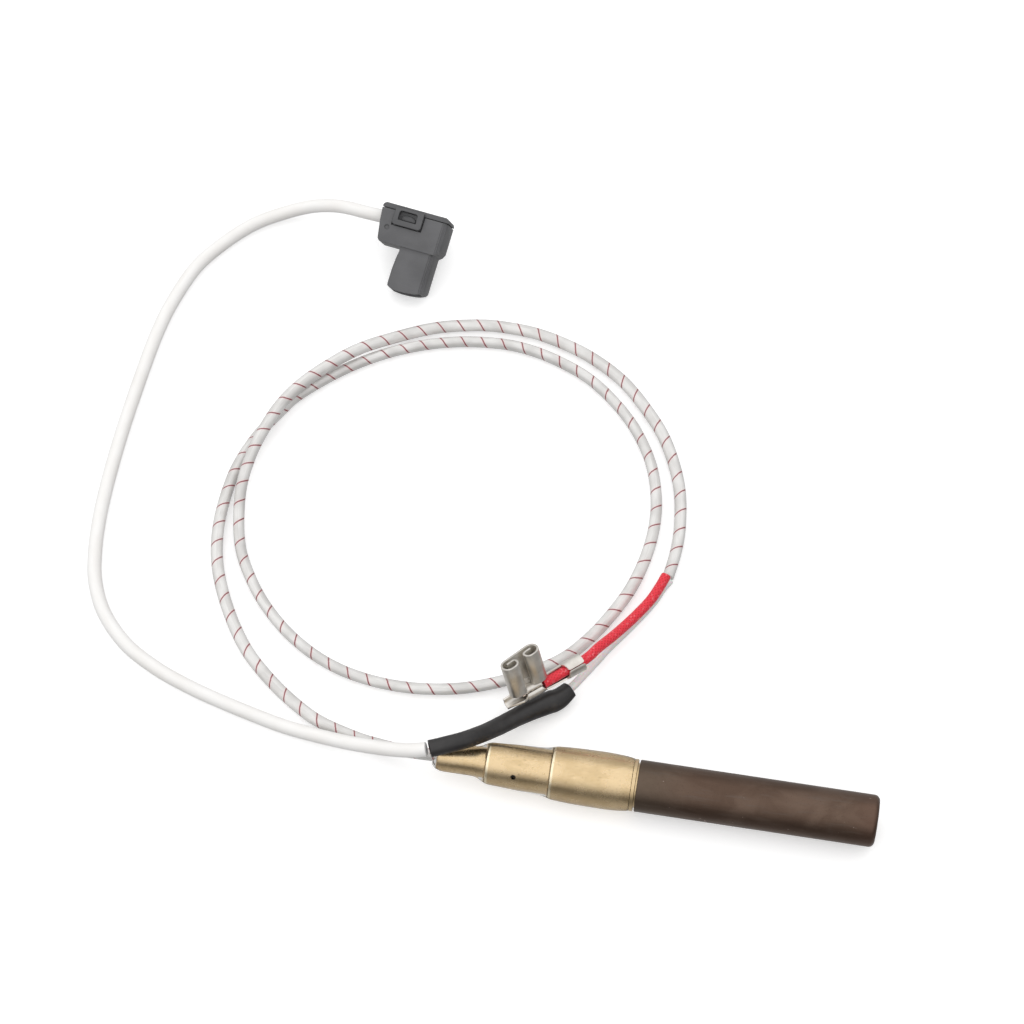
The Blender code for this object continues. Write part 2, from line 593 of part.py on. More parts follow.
def flag_terminal_matrix():
    """Barrel along the wire, receptacle leaning back from upright."""
    along = Vector(FLAG_TERMINAL_AXIS).normalized()
    up = Vector(FLAG_TERMINAL_UP)
    up = (up - along * up.dot(along)).normalized()
    back = up.cross(along)
    turn = Matrix((along, back, up)).transposed().to_4x4()
    return Matrix.Translation(FLAG_TERMINAL_PLACE) @ turn


# ---------------------------------------------------------------- connector
def connector_matrix():
    return (Matrix.Translation(CONNECTOR_PLACE) @ Matrix.Rotation(CONNECTOR_TURN, 4, "Z")
            @ Matrix.Rotation(CONNECTOR_PITCH, 4, "X") @ Matrix.Rotation(CONNECTOR_ROLL, 4, "Y"))


def make_housing(mat, place):
    """L-shaped moulded housing: block for the crimp, narrower mating part for the receptacle."""
    past = 0.001
    outline = [(BLOCK_TAPER, BLOCK_FRONT), (CONNECTOR_WIDTH - BLOCK_CORNER, BLOCK_FRONT),
               (CONNECTOR_WIDTH, BLOCK_FRONT + BLOCK_CORNER), (CONNECTOR_WIDTH, BLOCK_BACK), (0, BLOCK_BACK)]
    housing = prism("connector_housing", outline, 0, CONNECTOR_THICKNESS, mat, bevel=0.00045)
    mate_outline = MATE_TIP + [
        (MATE_RIGHT, BLOCK_FRONT + past), (MATE_LEFT + MATE_WAIST, BLOCK_FRONT + past),
        (MATE_LEFT + MATE_WAIST, BLOCK_FRONT - MATE_WAIST), (MATE_LEFT, BLOCK_FRONT - 6 * MATE_WAIST)]
    mate = prism("mating_part", mate_outline, MATE_BOTTOM, MATE_TOP, bevel=0.0003)
    block_room = box("block_room", (BLOCK_TAPER + BLOCK_WALL / 2, BLOCK_FRONT + BLOCK_WALL, BLOCK_ROOM[0]),
                     (CONNECTOR_WIDTH - BLOCK_WALL, BLOCK_BACK + past, BLOCK_ROOM[1]))
    mate_room = box("mate_room", (MATE_LEFT + MATE_WALL, -past, MATE_BOTTOM + MATE_WALL),
                    (MATE_RIGHT - MATE_WALL, BLOCK_FRONT + 2 * past, MATE_TOP - MATE_WALL))
    slot = box("cable_slot", (-past, CABLE_Y - CABLE_SLOT, CABLE_Z - CABLE_SLOT),
               (BLOCK_TAPER + BLOCK_WALL, BLOCK_BACK + past, CABLE_Z + CABLE_SLOT))
    recess = box("latch_recess", (LATCH_LEFT - GAP, LATCH_FRONT - GAP, LATCH_BOTTOM - LATCH_POCKET),
                 (LATCH_RIGHT + GAP, BLOCK_BACK + past, CONNECTOR_THICKNESS + past))
    boolean(housing, mate, "UNION")
    for cutter in (block_room, mate_room, slot, recess):
        boolean(housing, cutter, "DIFFERENCE")
    catch = catch_bump()
    boolean(housing, catch, "UNION")
    for obj in (housing, mate, block_room, mate_room, slot, recess, catch):
        obj.matrix_world = place
    return housing


def catch_bump():
    """Low wedge in the latch window, inside the arc that the latch bar swings through."""
    floor = LATCH_BOTTOM - 2 * LATCH_POCKET
    bm = bmesh.new()
    side = [(CATCH_FRONT, floor), (CATCH_FRONT, CATCH_TOP[0]), (CATCH_BACK, CATCH_TOP[1]), (CATCH_BACK, floor)]
    left = [bm.verts.new((CATCH_LEFT, y, z)) for y, z in side]
    right = [bm.verts.new((CATCH_RIGHT, y, z)) for y, z in side]
    bm.faces.new(left)
    bm.faces.new(list(reversed(right)))
    bridge_rings(bm, left, right)
    return mesh_object("catch_bump", bm)


def make_cover(mat, place):
    """Rear cover with its latch strap, hinged on the bottom back edge of the block."""
    hinge = bpy.data.objects.new("rear_cover_hinge", None)
    bpy.context.collection.objects.link(hinge)
    hinge.matrix_world = place @ Matrix.Translation((0, HINGE_Y, HINGE_Z))
    shift = Matrix.Translation((0, -HINGE_Y, -HINGE_Z))
    plate = box("connector_rear_cover", (0, COVER_FRONT, HINGE_Z),
                (CONNECTOR_WIDTH, COVER_BACK, CONNECTOR_THICKNESS), mat, bevel=0.0003)
    past = 0.001
    strap = box("latch_strap", (LATCH_LEFT, LATCH_FRONT, LATCH_BOTTOM),
                (LATCH_RIGHT, HINGE_Y, LATCH_TOP), bevel=0.00025)
    window = box("latch_window", (WINDOW_LEFT, WINDOW_FRONT, LATCH_BOTTOM - past),
                 (WINDOW_RIGHT, COVER_FRONT, LATCH_TOP + past))
    ends = (HINGE_BEAD, CONNECTOR_WIDTH - HINGE_BEAD)
    bead = turned("hinge_bead", [(ends[0], 0), (ends[0], HINGE_BEAD), (ends[1], HINGE_BEAD), (ends[1], 0)],
                  None, sides=12, y=HINGE_Y, z=HINGE_Z)
    boolean(plate, strap, "UNION")
    boolean(plate, window, "DIFFERENCE")
    boolean(plate, bead, "UNION")
    for obj in (plate, strap, window, bead):
        obj.data.transform(shift)
        obj.parent = hinge
    return plate


def make_connector(mats):
    place = connector_matrix()
    make_housing(mats["black_plastic"], place)
    make_cover(mats["black_plastic_cover"], place)
    crimp = Matrix.Translation((CRIMP_END_X, CABLE_Y, CABLE_Z))
    flat = place @ crimp @ Matrix.Rotation(math.pi, 4, "Z")
    stand = flat @ Matrix.Rotation(-math.pi / 2, 4, "X")
    make_flag_terminal("connector_terminal", SMALL_TERMINAL, 0.0, mats["tin"], stand)
    core = rod("cable_conductor", *CONDUCTOR_X, CONDUCTOR_RADIUS, mats["copper"], y=CABLE_Y, z=CABLE_Z, sides=10)
    core.matrix_world = place


# ---------------------------------------------------------------- lead and splice
def make_leads(mats):
    cord("lead", LEAD_ROUTE, LEAD_RADIUS, 78, mats["lead"])
    cord("red_sleeve", RED_SLEEVE_ROUTE, RED_SLEEVE_RADIUS, 20, mats["red"])
    cord("negative_wire", NEGATIVE_ROUTE, NEGATIVE_RADIUS, 15, mats["clear_wire"])
    cord("white_cable", WHITE_ROUTE, WHITE_RADIUS, 40, mats["white"])
    inner = [radius - SHRINK_WALL for radius in SHRINK_RADII]
    loft_along("black_shrink_sleeve", SHRINK_ROUTE, SHRINK_RADII, inner, 18, 16, mats["shrink"])
    middle = catmull_rom(SHRINK_ROUTE, 19)[6:12]
    loft_along("splice_ferrule", middle, [0.0008] * 2, [0.0005] * 2, 5, 12, mats["tin_splice"])


def make_materials():
    return {
        "sheath": material("heat_tinted_steel", (0.10, 0.065, 0.045), 0.38, 1.0),
        "brass": material("brass", (0.62, 0.44, 0.22), 0.25, 1.0),
        "clear": material("clear_sleeve", (0.85, 0.80, 0.70), 0.12, 0.0, 0.35),
        "mica": material("mica", (0.75, 0.70, 0.60), 0.5),
        "ceramic": material("ceramic", (0.85, 0.83, 0.78), 0.7),
        "cement": material("cement", (0.72, 0.70, 0.65), 0.9),
        "positive": material("positive_alloy", (0.45, 0.43, 0.40), 0.35, 1.0),
        "negative": material("negative_alloy", (0.55, 0.48, 0.38), 0.35, 1.0),
        "wire": material("nickel_wire", (0.62, 0.60, 0.56), 0.3, 1.0),
        "lead": material("silvered_jacket", (0.62, 0.61, 0.59), 0.25),
        "red": material("red_braid", (0.75, 0.04, 0.05), 0.65),
        "clear_wire": material("clear_jacket", (0.82, 0.76, 0.72), 0.2),
        "white": material("white_silicone", (0.86, 0.85, 0.83), 0.4),
        "shrink": material("black_shrink", (0.03, 0.028, 0.028), 0.45),
        "tin": material("tin_plate", (0.66, 0.62, 0.55), 0.25, 1.0),
        "tin_splice": material("tin_ferrule", (0.66, 0.63, 0.58), 0.3, 1.0),
        "copper": material("tinned_copper", (0.70, 0.55, 0.42), 0.3, 1.0),
        "strands": material("bare_strands", (0.70, 0.62, 0.50), 0.3, 1.0),
        "black_plastic": material("black_nylon", (0.10, 0.10, 0.105), 0.5),
        "black_plastic_cover": material("black_nylon_cover", (0.09, 0.09, 0.095), 0.5),
    }


def main():
    clear_scene()
    mats = make_materials()
    make_probe(mats)
    make_leads(mats)
    terminal_place = flag_terminal_matrix()
    make_flag_terminal("flag_terminal", FLAG_TERMINAL, FLAG_TERMINAL_TWIST, mats["tin"], terminal_place)
    strands = rod("positive_conductor", *STRANDS_X, STRANDS_RADIUS, mats["strands"], z=0.0, sides=10)
    strands.matrix_world = terminal_place
    make_connector(mats)


main()
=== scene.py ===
"""Looks of the thermocouple: sheath, brass under its clear sleeve, leads, terminals and connector."""

import math

import bmesh
import bpy
from mathutils import Matrix, Vector, noise


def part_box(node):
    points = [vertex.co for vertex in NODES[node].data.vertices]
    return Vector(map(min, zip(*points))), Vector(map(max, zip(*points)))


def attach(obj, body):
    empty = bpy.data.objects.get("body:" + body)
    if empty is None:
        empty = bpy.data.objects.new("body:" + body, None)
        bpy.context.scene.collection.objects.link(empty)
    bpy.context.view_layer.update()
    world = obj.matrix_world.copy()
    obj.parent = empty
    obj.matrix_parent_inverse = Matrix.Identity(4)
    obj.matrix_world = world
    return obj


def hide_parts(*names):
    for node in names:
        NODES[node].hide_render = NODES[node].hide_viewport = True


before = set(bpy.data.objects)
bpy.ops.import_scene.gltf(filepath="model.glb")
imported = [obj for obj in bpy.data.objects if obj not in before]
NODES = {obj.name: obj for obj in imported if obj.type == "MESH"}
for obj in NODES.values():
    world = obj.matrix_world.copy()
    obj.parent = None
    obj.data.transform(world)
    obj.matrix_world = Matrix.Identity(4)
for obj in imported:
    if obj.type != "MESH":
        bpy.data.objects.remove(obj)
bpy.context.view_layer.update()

# ---------------------------------------------------------------- places, from the frame
SHEATH_LOW, SHEATH_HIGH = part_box("hot_sheath")
SLEEVE_LOW, SLEEVE_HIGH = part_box("clear_shrink_sleeve")
AXIS_HEIGHT = (SLEEVE_LOW.z + SLEEVE_HIGH.z) / 2
FLOOR_Z = 0.0

# ---------------------------------------------------------------- routes, as in the CAD
LEAD_REST, WHITE_REST = 0.00128, 0.00148      # height of a cord's middle where it lies on the table


def level(height, points):
    """Route points at one height."""
    return [(x, y, height) for x, y in points]


LEAD_ROUTE = [
    (-0.0360, 0.0000, 0.0055), (-0.0410, 0.0000, 0.0055), (-0.0445, 0.0000, 0.0053),
    (-0.0485, 0.0007, 0.0038), (-0.0530, 0.0019, 0.0021), (-0.0575, 0.0029, 0.00135),
] + level(LEAD_REST, [
    (-0.0648, 0.0050), (-0.0700, 0.0077), (-0.0760, 0.0120), (-0.0821, 0.0178), (-0.0870, 0.0250),
    (-0.0909, 0.0332), (-0.0928, 0.0405), (-0.0933, 0.0480), (-0.0924, 0.0572), (-0.0898, 0.0652),
    (-0.0862, 0.0717), (-0.0830, 0.0764), (-0.0760, 0.0830), (-0.0688, 0.0880), (-0.0610, 0.0917),
    (-0.0529, 0.0940), (-0.0447, 0.0949), (-0.0383, 0.0944), (-0.0318, 0.0926), (-0.0253, 0.0896),
    (-0.0196, 0.0852), (-0.0145, 0.0797), (-0.0104, 0.0729), (-0.0082, 0.0662), (-0.0073, 0.0594),
    (-0.0078, 0.0519), (-0.0097, 0.0441), (-0.0126, 0.0376), (-0.0161, 0.0317), (-0.0205, 0.0264),
    (-0.0267, 0.0220), (-0.0330, 0.0189), (-0.0395, 0.0166), (-0.0460, 0.0154), (-0.0520, 0.0151),
    (-0.0580, 0.0156), (-0.0640, 0.0170), (-0.0699, 0.0196), (-0.0759, 0.0237), (-0.0815, 0.0293),
]) + [
    (-0.0857, 0.0354, 0.00135), (-0.0881, 0.0405, 0.0017), (-0.0895, 0.0466, 0.0027),
    (-0.0901, 0.0530, 0.0036), (-0.0895, 0.0598, 0.0040), (-0.0882, 0.0655, 0.0041),
    (-0.0861, 0.0715, 0.0041), (-0.0829, 0.0770, 0.0041), (-0.0780, 0.0827, 0.0040),
    (-0.0726, 0.0877, 0.0036), (-0.0660, 0.0924, 0.0022),
] + level(LEAD_REST, [
    (-0.0580, 0.0966), (-0.0494, 0.0986), (-0.0430, 0.0989), (-0.0366, 0.0983), (-0.0293, 0.0962),
    (-0.0233, 0.0934), (-0.0179, 0.0897), (-0.0131, 0.0848), (-0.0086, 0.0790), (-0.0053, 0.0724),
    (-0.0032, 0.0658), (-0.0022, 0.0580), (-0.0023, 0.0525), (-0.0030, 0.0471),
])
RED_SLEEVE_ROUTE = [
    (-0.0034, 0.0466, 0.00275), (-0.0043, 0.0439, 0.0029), (-0.0056, 0.0408, 0.0030),
    (-0.0074, 0.0377, 0.0032), (-0.0094, 0.0345, 0.0037), (-0.0117, 0.0309, 0.0047),
    (-0.0140, 0.0275, 0.0059), (-0.0153, 0.0253, 0.0065), (-0.0166, 0.02375, 0.0066),
    (-0.0182, 0.0224, 0.0066), (-0.0209, 0.0200, 0.0066), (-0.02335, 0.0178, 0.0066),
]
NEGATIVE_ROUTE = [
    (-0.0026, 0.0467, 0.00088), (-0.0037, 0.0448, 0.00088), (-0.0049, 0.0419, 0.00088),
    (-0.0065, 0.0390, 0.00088), (-0.0084, 0.0360, 0.00088), (-0.0103, 0.0331, 0.00088),
    (-0.0124, 0.0300, 0.00095), (-0.0141, 0.0270, 0.0012), (-0.0158, 0.0238, 0.0018),
    (-0.0174, 0.0209, 0.0023), (-0.0184, 0.0193, 0.0026), (-0.0193, 0.0181, 0.0026),
]
SHRINK_ROUTE = [
    (-0.0423, -0.0010, 0.0104), (-0.0383, 0.0008, 0.0104), (-0.0352, 0.0028, 0.0095),
    (-0.0316, 0.0068, 0.0061), (-0.0276, 0.0112, 0.0036), (-0.0249, 0.0136, 0.0029),
    (-0.0221, 0.0156, 0.0027), (-0.0202, 0.0169, 0.0026), (-0.0184, 0.01915, 0.0026),
]
SHRINK_RADII = [0.00174, 0.00174, 0.00174, 0.00176, 0.0018, 0.0019, 0.0021, 0.0024, 0.0018]
WHITE_ROUTE = [
    (-0.0430, -0.0012, 0.0104), (-0.0455, -0.0016, 0.0098), (-0.0495, -0.0013, 0.0082),
    (-0.0545, -0.0004, 0.0059), (-0.0595, 0.0006, 0.0039), (-0.0655, 0.0018, 0.0023),
    (-0.0715, 0.0029, 0.00155),
] + level(WHITE_REST, [
    (-0.0780, 0.0044), (-0.0852, 0.0063), (-0.0917, 0.0083), (-0.0987, 0.0111), (-0.1058, 0.0153),
    (-0.1115, 0.0213), (-0.1148, 0.0279), (-0.1163, 0.0346), (-0.1170, 0.0414), (-0.1172, 0.0483),
    (-0.1171, 0.0553), (-0.1168, 0.0625), (-0.1163, 0.0697), (-0.1157, 0.0770), (-0.1148, 0.0855),
    (-0.1133, 0.0933), (-0.1102, 0.1026), (-0.1059, 0.1092),
]) + [
    (-0.1006, 0.1149, 0.00155), (-0.0951, 0.1183, 0.0020), (-0.0893, 0.1200, 0.0036),
    (-0.0845, 0.1197, 0.0057), (-0.0808, 0.1190, 0.0069), (-0.0768, 0.11825, 0.0073),
    (-0.0727, 0.11765, 0.0075), (-0.0710, 0.11735, 0.0075),
]

LEAD_DIAMETER = 0.0025
RED_DIAMETER = 0.0021
NEGATIVE_DIAMETER = 0.0017
WHITE_DIAMETER = 0.0029
TRACER_PITCH = 0.00415
BRAID_PITCH = 0.00095             # distance along the red sleeve in which its weave repeats
BRAID_THREADS = 9
BRASS_TAIL = -0.0409
BRASS_SHOULDERS = (-0.0315, -0.0191)
BRASS_LARGE = 0.0046              # radius of the largest step
SLEEVE_END = -0.00353             # clear sleeve's end, just short of the brass collar


# ---------------------------------------------------------------- shader building
class Nodes:
    """Short calls that add nodes to a tree."""

    def __init__(self, tree):
        self.tree = tree

    def feed(self, target, value):
        """Link a socket to another node's output, or set it to a value."""
        if isinstance(value, bpy.types.NodeSocket):
            self.tree.links.new(value, target)
        else:
            target.default_value = value

    def node(self, kind, inputs=None, **settings):
        made = self.tree.nodes.new(kind)
        for key, value in settings.items():
            setattr(made, key, value)
        for key, value in (inputs or {}).items():
            self.feed(made.inputs[key], value)
        return made

    def math(self, operation, a, b=0.0, c=0.5):
        return self.node("ShaderNodeMath", {0: a, 1: b, 2: c}, operation=operation).outputs[0]

    def mix(self, share, first, second, blend_type="MIX"):
        made = self.node("ShaderNodeMix", data_type="RGBA", blend_type=blend_type)
        for index, value in ((0, share), (6, first), (7, second)):
            self.feed(made.inputs[index], (*value, 1.0) if isinstance(value, tuple) else value)
        return made.outputs[2]

    def ramp(self, value, stops):
        """Grey levels at given places from 0 to 1."""
        made = self.node("ShaderNodeValToRGB", {0: value})
        elements = made.color_ramp.elements
        while len(elements) < len(stops):
            elements.new(0.5)
        for element, (place, level) in zip(elements, stops):
            element.position = place
            element.color = (level, level, level, 1)
        return made.outputs[0]


class Shader(Nodes):
    """A Principled material."""

    def __init__(self, name, **sockets):
        self.mat = bpy.data.materials.new(name)
        self.mat.use_nodes = True
        super().__init__(self.mat.node_tree)
        self.bsdf = self.tree.nodes["Principled BSDF"]
        for socket, value in sockets.items():
            self.set(socket.replace("_", " "), value)

    def set(self, socket, value):
        colour = isinstance(value, tuple) and len(value) == 3
        self.feed(self.bsdf.inputs[socket], (*value, 1.0) if colour else value)

    def place(self, scale=(1, 1, 1), rotation=(0, 0, 0)):
        """Coordinates in the row frame, in metres, times a scale along each axis."""
        coords = self.node("ShaderNodeTexCoord").outputs["Object"]
        settings = {"Vector": coords, "Scale": scale, "Rotation": rotation}
        return self.node("ShaderNodeMapping", settings).outputs[0]

    def along(self, scale):
        """Coordinates on a tube: distance along it and turn round it, times a scale."""
        coords = self.node("ShaderNodeUVMap", uv_map="tube").outputs[0]
        return self.node("ShaderNodeMapping", {"Vector": coords, "Scale": (*scale, 1)}).outputs[0]

    def noise(self, vector, detail=3.0, roughness=0.55, distortion=0.0):
        settings = {"Vector": vector, "Scale": 1.0, "Detail": detail, "Roughness": roughness,
                    "Distortion": distortion}
        return self.node("ShaderNodeTexNoise", settings).outputs["Fac"]

    def speckle(self, scale, detail):
        """Noise of one scale in all directions."""
        return self.noise(self.place((scale, scale, scale)), detail=detail)

    def spread(self, value, low, high, to_low=0.0, to_high=1.0):
        return self.node("ShaderNodeMapRange", {0: value, 1: low, 2: high, 3: to_low, 4: to_high},
                         interpolation_type="SMOOTHSTEP").outputs[0]

    def bump(self, height, distance, strength=1.0):
        found = self.bsdf.inputs["Normal"].links
        made = self.node("ShaderNodeBump", {"Height": height, "Distance": distance, "Strength": strength})
        if found:
            self.tree.links.new(found[0].from_socket, made.inputs["Normal"])
        self.set("Normal", made.outputs[0])


# ---------------------------------------------------------------- materials
def jacket_material():
    """Silvery, varnished fibre jacket with a dark red tracer thread laid in a helix."""
    s = Shader("silvery_jacket", Roughness=0.3, IOR=1.5, Coat_Weight=1.0, Coat_IOR=1.7, Coat_Roughness=0.08)
    coords = s.node("ShaderNodeSeparateXYZ", {0: s.node("ShaderNodeUVMap", uv_map="tube").outputs[0]})
    wobble = s.math("MULTIPLY", s.math("SUBTRACT", s.noise(s.along((120, 0.5))), 0.5), 0.10)
    turns = s.math("ADD", s.math("MULTIPLY", coords.outputs[0], 1 / TRACER_PITCH), wobble)
    phase = s.math("FRACT", s.math("SUBTRACT", turns, coords.outputs[1]))
    off = s.math("ABSOLUTE", s.math("SUBTRACT", phase, 0.5))
    thread = s.spread(off, 0.030, 0.047, 1.0, 0.0)
    halo = s.spread(off, 0.04, 0.15, 0.30, 0.0)
    fibres = s.noise(s.along((160, 46)), detail=4.0, roughness=0.7)
    patches = s.noise(s.along((170, 1.5)), detail=2.0)
    fine = s.noise(s.along((2600, 60)), detail=2.0)
    body = s.mix(s.spread(patches, 0.35, 0.65), (0.66, 0.645, 0.625), (0.82, 0.81, 0.79))
    body = s.mix(s.spread(fibres, 0.42, 0.62, 0.0, 0.34), body, (0.60, 0.575, 0.56))
    body = s.mix(s.spread(fine, 0.60, 0.75, 0.0, 0.25), body, (0.97, 0.96, 0.95))
    body = s.mix(halo, body, (0.90, 0.60, 0.58))
    dark = s.mix(s.spread(fine, 0.35, 0.7), (0.20, 0.022, 0.032), (0.34, 0.06, 0.07))
    s.set("Base Color", s.mix(thread, body, dark))
    s.set("Roughness", s.spread(fibres, 0.3, 0.7, 0.20, 0.42))
    s.bump(fibres, 0.00006, 0.6)
    s.bump(s.math("ADD", s.math("MULTIPLY", thread, -1.0), fine), 0.00003, 0.5)
    return s.mat


def white_material():
    """White silicone rubber."""
    s = Shader("white_silicone", Roughness=0.42, IOR=1.43, Sheen_Weight=0.12)
    mottle = s.noise(s.along((120, 2.0)), detail=4.0)
    dust = s.noise(s.along((1800, 14)), detail=2.0)
    body = s.mix(s.spread(mottle, 0.3, 0.7), (0.91, 0.89, 0.865), (0.96, 0.95, 0.935))
    s.set("Base Color", s.mix(s.spread(dust, 0.70, 0.80, 0.0, 0.35), body, (0.72, 0.70, 0.68)))
    s.set("Roughness", s.spread(mottle, 0.3, 0.7, 0.36, 0.5))
    s.bump(mottle, 0.00006, 0.5)
    s.bump(dust, 0.00001, 0.6)
    return s.mat


def shrink_material():
    """Black heat-shrink sleeve: satin, with faint scuffs along it."""
    s = Shader("black_shrink", Roughness=0.42, IOR=1.5)
    scuffs = s.noise(s.along((400, 22)), detail=5.0, roughness=0.65)
    patches = s.speckle(260, 3.0)
    body = s.mix(s.spread(patches, 0.3, 0.7), (0.016, 0.0145, 0.015), (0.028, 0.026, 0.026))
    s.set("Base Color", s.mix(s.spread(scuffs, 0.58, 0.75, 0.0, 0.4), body, (0.06, 0.055, 0.053)))
    s.set("Roughness", s.spread(scuffs, 0.3, 0.7, 0.36, 0.52))
    s.bump(patches, 0.00012, 0.35)
    s.bump(scuffs, 0.00002, 0.5)
    return s.mat


def red_material():
    """Red glass-fibre braid."""
    s = Shader("red_braid", Roughness=0.5, Sheen_Weight=0.35, Sheen_Roughness=0.4, IOR=1.45)
    coords = s.node("ShaderNodeSeparateXYZ", {0: s.node("ShaderNodeUVMap", uv_map="tube").outputs[0]})
    turns = s.math("MULTIPLY", coords.outputs[1], BRAID_THREADS)
    rise = s.math("MULTIPLY", coords.outputs[0], 1 / BRAID_PITCH)
    left = s.math("SINE", s.math("MULTIPLY", s.math("ADD", turns, rise), 2 * math.pi))
    right = s.math("SINE", s.math("MULTIPLY", s.math("SUBTRACT", turns, rise), 2 * math.pi))
    weave = s.math("MAXIMUM", left, right)
    flecks = s.noise(s.along((1500, 8)), detail=3.0)
    body = s.mix(s.spread(weave, -0.2, 0.9), (0.66, 0.016, 0.03), (0.84, 0.03, 0.055))
    s.set("Base Color", s.mix(s.spread(flecks, 0.56, 0.68, 0.0, 0.6), body, (0.92, 0.26, 0.29)))
    s.bump(weave, 0.00004, 0.5)
    s.bump(flecks, 0.00003, 0.5)
    return s.mat


def clear_material():
    """Clear plastic film that lets light through to what it covers."""
    s = Shader("clear_sleeve_plastic", Transmission_Weight=1.0, IOR=1.22, Base_Color=(0.985, 0.975, 0.95),
               Roughness=0.03)
    s.bump(s.speckle(900, 2.0), 0.00002, 0.2)
    lamps = s.node("ShaderNodeBsdfTransparent", {"Color": (0.93, 0.93, 0.93, 1)})
    see = s.node("ShaderNodeMixShader", {0: s.node("ShaderNodeLightPath").outputs["Is Shadow Ray"],
                                         1: s.bsdf.outputs[0], 2: lamps.outputs[0]})
    s.tree.links.new(see.outputs[0], s.tree.nodes["Material Output"].inputs["Surface"])
    return s.mat


def milky_material():
    """Natural, slightly milky plastic over a pinkish wire."""
    s = Shader("natural_plastic", Roughness=0.22, IOR=1.47, Subsurface_Weight=0.35, Subsurface_Scale=0.0006,
               Transmission_Weight=0.1, Coat_Weight=0.4, Coat_Roughness=0.1)
    streaks = s.noise(s.along((260, 1.6)), detail=3.0)
    body = s.mix(s.spread(streaks, 0.38, 0.62), (0.95, 0.89, 0.87), (0.97, 0.95, 0.94))
    s.set("Base Color", s.mix(s.spread(streaks, 0.60, 0.70, 0.0, 0.6), body, (0.95, 0.74, 0.72)))
    s.bump(streaks, 0.00005, 0.4)
    return s.mat


def brass_material():
    """Turned brass with fine rings from the tool, faint blotches and specks, and a painted highlight just
    past each shoulder.
    """
    s = Shader("turned_brass", Metallic=1.0, Roughness=0.2)
    rings = s.noise(s.place((14000, 260, 260)), detail=3.0, roughness=0.6)
    coarse = s.noise(s.place((2600, 90, 90)), detail=2.0)
    blotch = s.noise(s.place((230, 420, 420)), detail=4.0)
    specks = s.speckle(2400, 2.0)
    body = s.mix(s.spread(blotch, 0.35, 0.65), (0.63, 0.475, 0.275), (0.72, 0.555, 0.34))
    body = s.mix(s.spread(rings, 0.55, 0.75, 0.0, 0.28), body, (0.48, 0.35, 0.19))
    reach = s.node("ShaderNodeSeparateXYZ", {0: s.place()}).outputs[0]
    # painted highlight: a pale band just past each shoulder stands in for the light its rounded edge catches
    for shoulder in BRASS_SHOULDERS:
        from_rim = s.math("ABSOLUTE", s.math("SUBTRACT", reach, shoulder + 0.00035))
        body = s.mix(s.spread(from_rim, 0.00010, 0.00040, 1.0, 0.0), body, (0.95, 0.84, 0.62))
    s.set("Base Color", s.mix(s.spread(specks, 0.60, 0.72, 0.0, 0.45), body, (0.34, 0.25, 0.13)))
    s.set("Roughness", s.spread(blotch, 0.3, 0.7, 0.22, 0.30))
    s.bump(rings, 0.00002, 0.45)
    s.bump(coarse, 0.00005, 0.15)
    return s.mat


def sheath_material():
    """Stainless steel that heat has tinted brown, with greyer patches and pale specks."""
    s = Shader("heat_tinted_steel", Metallic=0.85, Roughness=0.4)
    streaks = s.noise(s.place((120, 900, 900)), detail=5.0, roughness=0.65)
    grain = s.speckle(3800, 3.0)
    patches = s.noise(s.place((110, 180, 180)), detail=4.0, distortion=0.6)
    specks = s.speckle(1300, 1.0)
    body = s.mix(s.spread(patches, 0.36, 0.64), (0.100, 0.063, 0.045), (0.138, 0.092, 0.068))
    body = s.mix(s.spread(streaks, 0.50, 0.68, 0.0, 0.35), body, (0.150, 0.118, 0.100))
    reach = s.node("ShaderNodeSeparateXYZ", {0: s.place()}).outputs[0]
    cold = s.spread(reach, SHEATH_LOW.x, SHEATH_LOW.x + 0.012, 0.55, 0.0)
    body = s.mix(cold, body, (0.118, 0.092, 0.068))
    hot = s.spread(reach, SHEATH_HIGH.x - 0.007, SHEATH_HIGH.x, 0.0, 0.45)
    body = s.mix(hot, body, (0.125, 0.070, 0.050))
    body = s.mix(s.spread(grain, 0.55, 0.75, 0.0, 0.35), body, (0.055, 0.035, 0.027))
    s.set("Base Color", s.mix(s.spread(specks, 0.775, 0.79, 0.0, 0.7), body, (0.36, 0.28, 0.24)))
    s.set("Roughness", s.spread(streaks, 0.3, 0.7, 0.30, 0.48))
    s.bump(grain, 0.00003, 0.5)
    s.bump(patches, 0.0001, 0.15)
    return s.mat


def tin_material():
    """Tin-plated sheet, brushed and slightly tarnished."""
    s = Shader("tin_plate", Metallic=1.0, Roughness=0.28)
    tarnish = s.speckle(420, 5.0)
    lines = s.noise(s.place((900, 900, 7000), (0.5, -0.4, 0.7)), detail=2.0)
    pits = s.speckle(3000, 2.0)
    body = s.mix(s.spread(tarnish, 0.35, 0.65), (0.66, 0.63, 0.58), (0.80, 0.77, 0.72))
    s.set("Base Color", s.mix(s.spread(pits, 0.70, 0.78, 0.0, 0.3), body, (0.40, 0.37, 0.32)))
    s.set("Roughness", s.spread(tarnish, 0.3, 0.7, 0.36, 0.48))
    s.bump(lines, 0.00002, 0.35)
    s.bump(tarnish, 0.00002, 0.2)
    return s.mat


